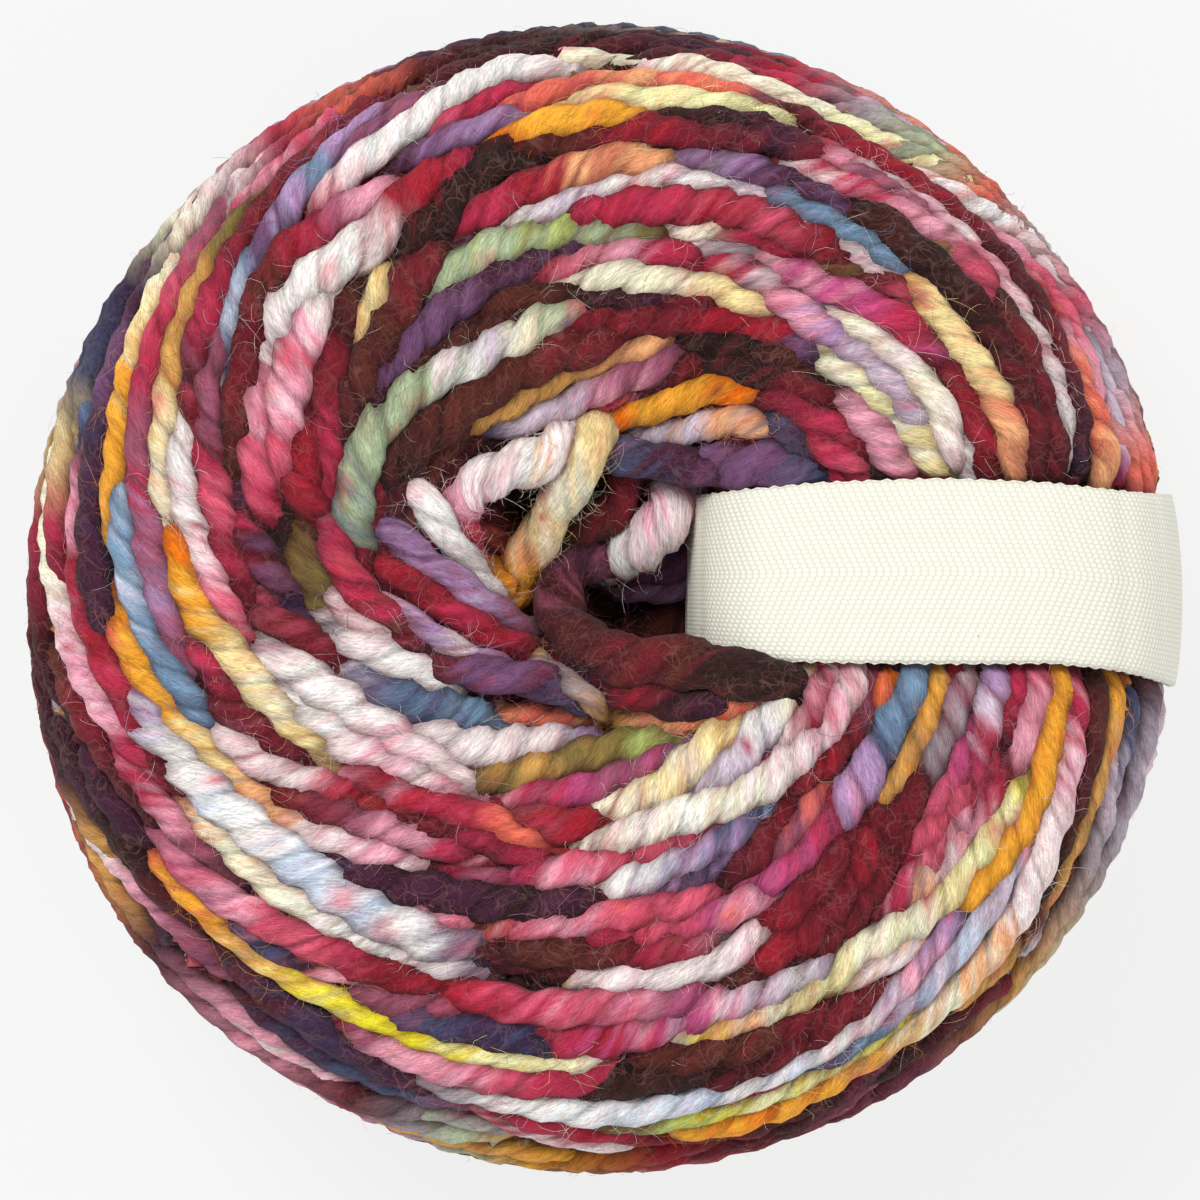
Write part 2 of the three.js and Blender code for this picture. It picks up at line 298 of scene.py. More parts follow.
def speckled(colours, along, around):
    # drops of stronger dye that show on the pale lengths
    words = speckles["dyes"].split()
    for _ in range(random.poisson(along[-1] / speckles["apart"])):
        place, angle = random.uniform(0, along[-1]), random.uniform(0, np.pi)
        size = random.uniform(speckles["least"], speckles["most"])
        across = plies["radius"] * (np.mod(around - angle + np.pi, 2 * np.pi) - np.pi)
        near = np.sqrt(((along[:, None] - place) / speckles["longer"]) ** 2 + across**2) / size
        pale = np.clip(colours.mean(-1) * speckles["onPale"], 0, 1)
        strength = random.uniform(speckles["weakest"], speckles["strongest"])
        share = (strength * (1 - eased(speckles["edge"], 1.0, near)) * pale)[..., None]
        colours = colours * (1 - share) + dye[words[random.integers(len(words))]] * share
    return colours


def strandColours(stops, along, psi, around):
    # the dye, shifted a little between the two plies, bled to one side in patches, speckled and uneven
    sides = len(psi)
    ply = np.where(np.cos(psi) > 0, 1.0, -1.0)
    shifts = noiseAt(along, sides, strandDyeAndShade["unevenWave"]) * strandDyeAndShade["uneven"]
    at = (along[:, None] + strandDyeAndShade["plyShift"] * ply[None, :] + shifts) / along[-1]
    colours = colourAlong(stops, at)
    patches = noiseAt(along, sides, strandDyeAndShade["patchWave"])
    patches = patches + strandDyeAndShade["broadPatch"] * noiseAt(along, 1, strandDyeAndShade["broadPatchWave"])
    bleed = strandDyeAndShade["bleedShare"] * eased(strandDyeAndShade["bleedFrom"], strandDyeAndShade["bleedTo"], patches)[..., None]
    moved = at + strandDyeAndShade["bleed"] * random.choice([-1, 1]) / along[-1]
    colours = colours * (1 - bleed) + bleed * colourAlong(stops, moved)
    colours = speckled(colours, along, around)
    light = 1 + strandDyeAndShade["light"] * noiseAt(along, sides, strandDyeAndShade["lightWave"])
    light = light + strandDyeAndShade["grain"] * random.standard_normal((len(along), sides))
    return colours * np.clip(light, strandDyeAndShade["darkest"], strandDyeAndShade["lightest"])[..., None]


# A stock gathers the meshes of one piece, with the lines of its strands and the places where fibres start
noQuads = np.zeros((0, 4), int)
noTriangles = np.zeros((0, 3), int)


def newStock():
    return {"points": [], "colours": [], "quads": [], "triangles": [], "quadUv": [], "count": 0,
            "anchors": [], "lines": []}


def addMesh(stock, points, colours, quads=noQuads, triangles=noTriangles):
    # faces count their corners from this mesh's own first point
    stock["points"].append(points.reshape(-1, 3))
    stock["colours"].append(colours.reshape(-1, 3))
    stock["quads"].append(quads + stock["count"])
    stock["triangles"].append(triangles + stock["count"])
    stock["count"] += len(stock["points"][-1])


def gridSteps(rows, columns, closed):
    # the row and column of each quad in a grid that goes round, and the next row and column
    k, j = np.meshgrid(np.arange(rows if closed else rows - 1), np.arange(columns), indexing="ij")
    k, j = k.ravel(), j.ravel()
    return k, j, (k + 1) % rows, (j + 1) % columns


def gridQuads(rows, columns, closed):
    k, j, nextK, nextJ = gridSteps(rows, columns, closed)
    row, nextRow = k * columns, nextK * columns
    return np.stack([row + j, row + nextJ, nextRow + nextJ, nextRow + j], axis=1)


def cornerUv(around, nextAround, along, nextAlong):
    # the corners of each quad, in the order that gridQuads gives them
    return np.stack([np.stack([around, along], 1), np.stack([nextAround, along], 1),
                     np.stack([nextAround, nextAlong], 1), np.stack([around, nextAlong], 1)], axis=1)


def addStrand(stock, centre, normal, stops, sides, scale, fuzz, pitch=None, flatten=None, floor=None):
    # a two-ply twist round the centre line, with its notches, dyes, painted flank shade and closed ends
    pitch = pitch or plies["pitch"] + random.uniform(-1, 1) * plies["pitchSpread"]
    flatten = flatten or plies["flatten"]
    along = lengthsAlong(centre)
    rows = len(along)
    tangent = unit(np.gradient(centre, along, axis=0))
    lift = unit(normal - (normal * tangent).sum(1, keepdims=True) * tangent)
    side = np.cross(lift, tangent)
    phase = random.uniform(0, 2 * np.pi)
    wobble = noiseAt(along, 3, plies["wanderWave"])
    twist = phase - 2 * np.pi * (along + plies["wander"] * wobble[:, 0]) / pitch
    psi = 2 * np.pi * np.arange(sides) / sides
    notch = np.abs(np.sin(psi))
    reach = plies["radius"] * (1 - plies["notch"] * notch ** plies["notchPower"] - plies["flat"] * notch**2)
    ends = np.minimum(along, along[-1] - along)
    full = eased(plies["endFrom"], plies["endTo"], ends)
    thick = scale * (1 + plies["swell"] * wobble[:, 1])
    thick = thick * (plies["endThickness"] + (1 - plies["endThickness"]) * full)
    rough = 1 + plies["roughness"] * random.standard_normal((rows, sides))
    radial = reach[None, :] * thick[:, None] * rough
    around = psi[None, :] + twist[:, None]
    x = radial * np.cos(around) * plies["widen"]
    y = radial * np.sin(around) * flatten
    points = centre[:, None] + side[:, None] * x[..., None] + lift[:, None] * y[..., None]
    if floor is not None:
        points[..., 2] = np.maximum(points[..., 2], floor)
    colours = strandColours(stops, along, psi, around)
    # painted shade: the colour darkens down the flanks of each strand towards its underside
    height = y / (plies["radius"] * flatten * thick[:, None])
    light = eased(strandDyeAndShade["flankFrom"], strandDyeAndShade["flankTo"], height)
    colours = colours * (strandDyeAndShade["flankShade"] + (1 - strandDyeAndShade["flankShade"]) * light)[..., None]
    fan = np.arange(1, sides - 1)
    last = (rows - 1) * sides
    caps = np.concatenate([
        np.stack([np.zeros_like(fan), fan + 1, fan], axis=1),
        np.stack([np.full_like(fan, last), last + fan, last + fan + 1], axis=1)])
    addMesh(stock, points, colours, gridQuads(rows, sides, False), caps)
    k, j, nextK, _ = gridSteps(rows, sides, False)
    u = plies["girth"] / sides
    v = along / uvUnit + random.uniform(0, plies["uvShift"])
    stock["quadUv"].append(cornerUv(j * u, (j + 1) * u, v[k], v[nextK]).reshape(-1, 2))
    even = np.arange(0, along[-1], plies["lineStep"])
    halfWidth = plies["radius"] * thick * math.sqrt(flatten)
    line = [np.interp(even, along, values) for values in (*centre.T, halfWidth)]
    stock["lines"].append(np.stack(line, axis=1))
    row, column = np.nonzero((y > plies["fuzzAbove"]) & (ends > plies["fuzzFromEnd"])[:, None])
    keep = random.random(len(row)) < fuzz
    row, column = row[keep], column[keep]
    # the anchors keep the strand's colour, painted flank shade included
    anchors = [points[row, column], tangent[row], lift[row], colours[row, column]]
    stock["anchors"].append(np.concatenate(anchors, axis=1))


# Painted shade: wool is darkened, and tinted redder, where it touches the strands beside it
contactShade = {
    "deepest": -0.8, "clear": 0.75, "shade": 0.3, "tint": (1.0, 0.76, 0.78), "reach": 4.0, "batch": 280,
}


def shadeContacts(stock, others):
    lines = stock["lines"] + others
    places = np.concatenate(lines)
    owners = np.repeat(np.arange(len(lines)), [len(line) for line in lines])
    shade = contactShade["shade"] * np.array(contactShade["tint"])
    for i, points in enumerate(stock["points"]):
        clear = np.ones((len(points), 1))
        for first in range(0, len(points), contactShade["batch"]):
            part = points[first:first + contactShade["batch"]]
            low, high = part.min(0) - contactShade["reach"], part.max(0) + contactShade["reach"]
            inReach = ((places[:, :3] > low) & (places[:, :3] < high)).all(1)
            near = places[inReach & (owners != i)]
            if len(near):
                apart = (part**2).sum(1)[:, None] + (near[:, :3] ** 2).sum(1) - 2 * part @ near[:, :3].T
                gap = (np.sqrt(np.maximum(apart, 0)) - near[:, 3]).min(1)
                clear[first:first + contactShade["batch"], 0] = eased(contactShade["deepest"], contactShade["clear"], gap)
        # painted shade, darker and redder the nearer another strand's surface is
        stock["colours"][i][:] = stock["colours"][i] * (shade * (1 - clear) + clear)


def buildPiece(name, stock, material):
    points = np.concatenate(stock["points"]) * toMetres
    quads, triangles = np.concatenate(stock["quads"]), np.concatenate(stock["triangles"])
    loops = np.concatenate([quads.ravel(), triangles.ravel()])
    starts = np.concatenate([np.arange(len(quads)) * 4, len(quads) * 4 + np.arange(len(triangles)) * 3])
    mesh = bpy.data.meshes.new(name)
    mesh.vertices.add(len(points))
    mesh.vertices.foreach_set("co", points.astype(np.float32).ravel())
    mesh.loops.add(len(loops))
    mesh.loops.foreach_set("vertex_index", loops.astype(np.int32))
    mesh.polygons.add(len(starts))
    mesh.polygons.foreach_set("loop_start", starts.astype(np.int32))
    mesh.polygons.foreach_set("use_smooth", np.ones(len(starts), bool))
    mesh.update(calc_edges=True)
    # the dye attribute holds each point's dye together with the shade painted into it
    colours = np.clip(np.concatenate(stock["colours"]), 0, 1)
    colours = np.concatenate([colours, np.ones((len(colours), 1))], axis=1)
    attribute = mesh.attributes.new("dye", "FLOAT_COLOR", "POINT")
    attribute.data.foreach_set("color", colours.astype(np.float32).ravel())
    if stock["quadUv"]:
        uv = np.concatenate(stock["quadUv"] + [np.zeros((triangles.size, 2))])
        mesh.uv_layers.new(name="along").data.foreach_set("uv", uv.astype(np.float32).ravel())
    piece = bpy.data.objects.new(name, mesh)
    bpy.context.collection.objects.link(piece)
    mesh.materials.append(material)
    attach(piece, bodyName)
    print(name, "has", len(quads) * 2 + len(triangles), "triangles")
    return piece


# Node helpers
def addNode(tree, kind, inputs=None, **settings):
    node = tree.nodes.new(kind)
    for name, value in settings.items():
        setattr(node, name, value)
    for label, value in (inputs or {}).items():
        node.inputs[label].default_value = value
    return node


def feed(tree, value, socket):
    # another node's output is linked, and a plain value is set
    if isinstance(value, bpy.types.NodeSocket):
        tree.links.new(value, socket)
    else:
        socket.default_value = value


def mathNode(tree, operation, *values):
    node = addNode(tree, "ShaderNodeMath", operation=operation)
    for socket, value in zip(node.inputs, values):
        feed(tree, value, socket)
    return node.outputs[0]


def rangeNode(tree, value, fromLow, fromHigh, toLow, toHigh, kind="LINEAR"):
    ends = {1: fromLow, 2: fromHigh, 3: toLow, 4: toHigh}
    node = addNode(tree, "ShaderNodeMapRange", ends, interpolation_type=kind)
    tree.links.new(value, node.inputs[0])
    return node.outputs[0]


def mixNode(tree, share, first, second, blend="MIX"):
    node = addNode(tree, "ShaderNodeMix", data_type="RGBA", blend_type=blend)
    for index, value in ((0, share), (6, first), (7, second)):
        feed(tree, value, node.inputs[index])
    return node.outputs[2]


def scaleNode(tree, colour, strength):
    node = addNode(tree, "ShaderNodeVectorMath", operation="SCALE")
    tree.links.new(colour, node.inputs[0])
    tree.links.new(strength, node.inputs["Scale"])
    return node.outputs[0]


def noiseNode(tree, place, scale, detail, roughness=0.5, distortion=0.0):
    values = {"Scale": scale, "Detail": detail, "Roughness": roughness, "Distortion": distortion}
    node = addNode(tree, "ShaderNodeTexNoise", values)
    tree.links.new(place, node.inputs["Vector"])
    return node


def convertNode(tree, kind, value):
    node = addNode(tree, kind)
    tree.links.new(value, node.inputs[0])
    return node.outputs


def addRelief(tree, shader, height, strength, depth):
    node = addNode(tree, "ShaderNodeBump", {"Strength": strength, "Distance": depth})
    tree.links.new(height, node.inputs["Height"])
    tree.links.new(node.outputs[0], shader.inputs["Normal"])


def newGroup(name, inputs, outputs):
    tree = bpy.data.node_groups.new(name, "ShaderNodeTree")
    for label, kind in inputs:
        tree.interface.new_socket(name=label, in_out="INPUT", socket_type=kind)
    for label, kind in outputs:
        tree.interface.new_socket(name=label, in_out="OUTPUT", socket_type=kind)
    return tree, addNode(tree, "NodeGroupInput"), addNode(tree, "NodeGroupOutput")


def newMaterial(name, values):
    material = bpy.data.materials.new(name)
    material.use_nodes = True
    shader = material.node_tree.nodes["Principled BSDF"]
    for label, value in values.items():
        shader.inputs[label].default_value = value
    return material, material.node_tree, shader


# Wool fibres: fine streaks along the plies, with the dye taken up a little unevenly.
# The noises fine, broad, curls and blotches follow the strand's UV: scale round and along it, slant, detail,
# roughness and distortion. The stray and break noises follow the cake itself: scale, detail and distortion.
wool = {
    "finish": {"Roughness": 0.95, "Specular IOR Level": 0.15, "Sheen Weight": 0.05},
    "streaks": 0.75, "heather": 0.75, "relief": 0.6, "reliefDepth": 0.0006,
    "fine": (52.0, 6.0, -0.6, 2.0, 0.65, 0.0), "broad": (9.0, 1.5, -0.6, 1.0, 0.55, 0.0),
    "curls": (26.0, 11.0, 0.3, 1.0, 0.6, 1.8), "blotches": (3.2, 1.9, -0.4, 2.0, 0.6, 0.6),
    "fineHeight": 0.5, "curlHeight": 0.3, "broadHeight": 0.4,
    "blotchFrom": 0.5, "blotchTo": 0.68, "blotchShare": 0.6, "blotchDye": (0.93, 0.56, 0.64, 1),
    "fineShade": 0.6, "curlShade": 0.4, "shadeFrom": 0.39, "shadeTo": 0.61,
    "darkest": 0.6, "lightest": 1.3,
    "creaseShade": 0.72, "creaseWidth": 0.4, "creaseFray": 0.5,
    "pale": 2.2, "strayShare": 0.34,
    "strayOnDark": (0.42, 0.20, 0.18, 1), "strayOnPale": (0.80, 0.62, 0.60, 1),
    "strayNoises": ((350.0, 0.5, 0.7), (640.0, 0.0, 0.0)), "strayRoughness": 0.35, "strayWidth": 0.02,
    "strayStrength": (0.9, 0.65), "paleFade": -0.6,
    "breakNoise": (240.0, 0.0, 0.0), "breakFrom": 0.40, "breakTo": 0.56, "broken": 0.15,
}


def makeFibreGroup():
    tree, given, made = newGroup(
        "woolFibres",
        [("ShadedDye", "NodeSocketColor"), ("Streaks", "NodeSocketFloat"), ("Heather", "NodeSocketFloat")],
        [("Colour", "NodeSocketColor"), ("Height", "NodeSocketFloat")])
    uv = addNode(tree, "ShaderNodeUVMap", uv_map="along")
    around, along = convertNode(tree, "ShaderNodeSeparateXYZ", uv.outputs[0])[:2]

    def stretched(across, down, slant, detail, roughness, distortion):
        slanted = mathNode(tree, "ADD", around, mathNode(tree, "MULTIPLY", along, slant))
        join = addNode(tree, "ShaderNodeCombineXYZ")
        tree.links.new(mathNode(tree, "MULTIPLY", slanted, across), join.inputs[0])
        tree.links.new(mathNode(tree, "MULTIPLY", along, down), join.inputs[1])
        return noiseNode(tree, join.outputs[0], 1.0, detail, roughness, distortion).outputs[0]

    fine, broad, curls = stretched(*wool["fine"]), stretched(*wool["broad"]), stretched(*wool["curls"])
    height = mathNode(tree, "MULTIPLY", broad, wool["broadHeight"])
    height = mathNode(tree, "MULTIPLY_ADD", curls, wool["curlHeight"], height)
    height = mathNode(tree, "MULTIPLY_ADD", fine, wool["fineHeight"], height)
    tree.links.new(height, made.inputs["Height"])
    # dye taken up in blotches: pale wool pinker, blue wool more purple
    blotch = rangeNode(tree, stretched(*wool["blotches"]), wool["blotchFrom"], wool["blotchTo"],
                       0.0, wool["blotchShare"], "SMOOTHSTEP")
    blotch = mathNode(tree, "MULTIPLY", blotch, given.outputs["Heather"])
    blotched = mixNode(tree, blotch, given.outputs["ShadedDye"], wool["blotchDye"], "MULTIPLY")
    # lighter and darker fibres
    mixedNoise = mathNode(tree, "MULTIPLY", curls, wool["curlShade"])
    mixedNoise = mathNode(tree, "MULTIPLY_ADD", fine, wool["fineShade"], mixedNoise)
    shade = rangeNode(tree, mixedNoise, wool["shadeFrom"], wool["shadeTo"], wool["darkest"], wool["lightest"])
    shade = mathNode(tree, "SUBTRACT", shade, 1.0)
    strength = mathNode(tree, "MULTIPLY_ADD", shade, given.outputs["Streaks"], 1.0)
    # painted shade: a soft darker line where the two plies meet
    wave = mathNode(tree, "COSINE", mathNode(tree, "MULTIPLY", around, 2 * math.pi / plies["girth"]))
    frayed = mathNode(tree, "MULTIPLY_ADD", mathNode(tree, "SUBTRACT", fine, noiseMiddle), wool["creaseFray"],
                      mathNode(tree, "ABSOLUTE", wave))
    crease = rangeNode(tree, frayed, 0.0, wool["creaseWidth"], wool["creaseShade"], 1.0, "SMOOTHSTEP")
    lit = scaleNode(tree, blotched, mathNode(tree, "MULTIPLY", strength, crease))
    # stray fibres of another shade, lighter and redder on dark dyes and redder on pale ones
    bright = convertNode(tree, "ShaderNodeRGBToBW", given.outputs["ShadedDye"])[0]
    paleness = mathNode(tree, "MINIMUM", mathNode(tree, "MULTIPLY", bright, wool["pale"]), 1.0)
    onDark = mixNode(tree, wool["strayShare"], given.outputs["ShadedDye"], wool["strayOnDark"])
    onPale = mixNode(tree, 1.0, given.outputs["ShadedDye"], wool["strayOnPale"], "MULTIPLY")
    stray = mixNode(tree, paleness, onDark, onPale)
    # they are fine and curly: the level lines of slow noises, broken off by another one
    place = addNode(tree, "ShaderNodeTexCoord").outputs["Object"]

    def threeNoises(scale, detail, distortion):
        noise = noiseNode(tree, place, scale, detail, wool["strayRoughness"], distortion)
        return list(convertNode(tree, "ShaderNodeSeparateColor", noise.outputs["Color"]))

    breaks = threeNoises(*wool["breakNoise"])
    lines = []
    for noise, strongest in zip(wool["strayNoises"], wool["strayStrength"]):
        for field, gap in zip(threeNoises(*noise), breaks):
            apart = mathNode(tree, "ABSOLUTE", mathNode(tree, "SUBTRACT", field, noiseMiddle))
            line = rangeNode(tree, apart, 0.0, wool["strayWidth"], 1.0, 0.0)
            gate = rangeNode(tree, gap, wool["breakFrom"], wool["breakTo"], wool["broken"], strongest)
            lines.append(mathNode(tree, "MULTIPLY", line, gate))
    whole = lines[0]
    for line in lines[1:]:
        whole = mathNode(tree, "MAXIMUM", whole, line)
    whole = mathNode(tree, "MULTIPLY", whole, mathNode(tree, "MULTIPLY_ADD", paleness, wool["paleFade"], 1.0))
    mixed = mixNode(tree, mathNode(tree, "MULTIPLY", whole, given.outputs["Heather"]), lit, stray)
    tree.links.new(mixed, made.inputs["Colour"])
    return tree


def makeWoolMaterial():
    material, tree, shader = newMaterial("woolTop", wool["finish"])
    # the dye attribute brings the strands' dye with their painted shade
    attribute = addNode(tree, "ShaderNodeAttribute", attribute_name="dye")
    group = addNode(tree, "ShaderNodeGroup", node_tree=makeFibreGroup())
    group.inputs["Streaks"].default_value = wool["streaks"]
    group.inputs["Heather"].default_value = wool["heather"]
    tree.links.new(attribute.outputs["Color"], group.inputs["ShadedDye"])
    tree.links.new(group.outputs["Colour"], shader.inputs["Base Color"])
    addRelief(tree, shader, group.outputs["Height"], wool["relief"], wool["reliefDepth"])
    return material


# Single fibres, and the plain wool of the core
fibre = {
    "finish": {"Roughness": 0.9, "Specular IOR Level": 0.3, "Sheen Weight": 0.0},
    "grainScale": 900.0, "grainDetail": 3.0, "grainFrom": 0.3, "grainTo": 0.7,
    "darkest": 0.75, "lightest": 1.2,
}


def makeFibreMaterial():
    material, tree, shader = newMaterial("woolFibre", fibre["finish"])
    # the dye attribute brings the colour with its painted shade
    attribute = addNode(tree, "ShaderNodeAttribute", attribute_name="dye")
    place = addNode(tree, "ShaderNodeTexCoord").outputs["Object"]
    grain = noiseNode(tree, place, fibre["grainScale"], fibre["grainDetail"]).outputs[0]
    shade = rangeNode(tree, grain, fibre["grainFrom"], fibre["grainTo"], fibre["darkest"], fibre["lightest"])
    tree.links.new(scaleNode(tree, attribute.outputs["Color"], shade), shader.inputs["Base Color"])
    return material


woolTop = makeWoolMaterial()
woolFibre = makeFibreMaterial()
print("materials ready")

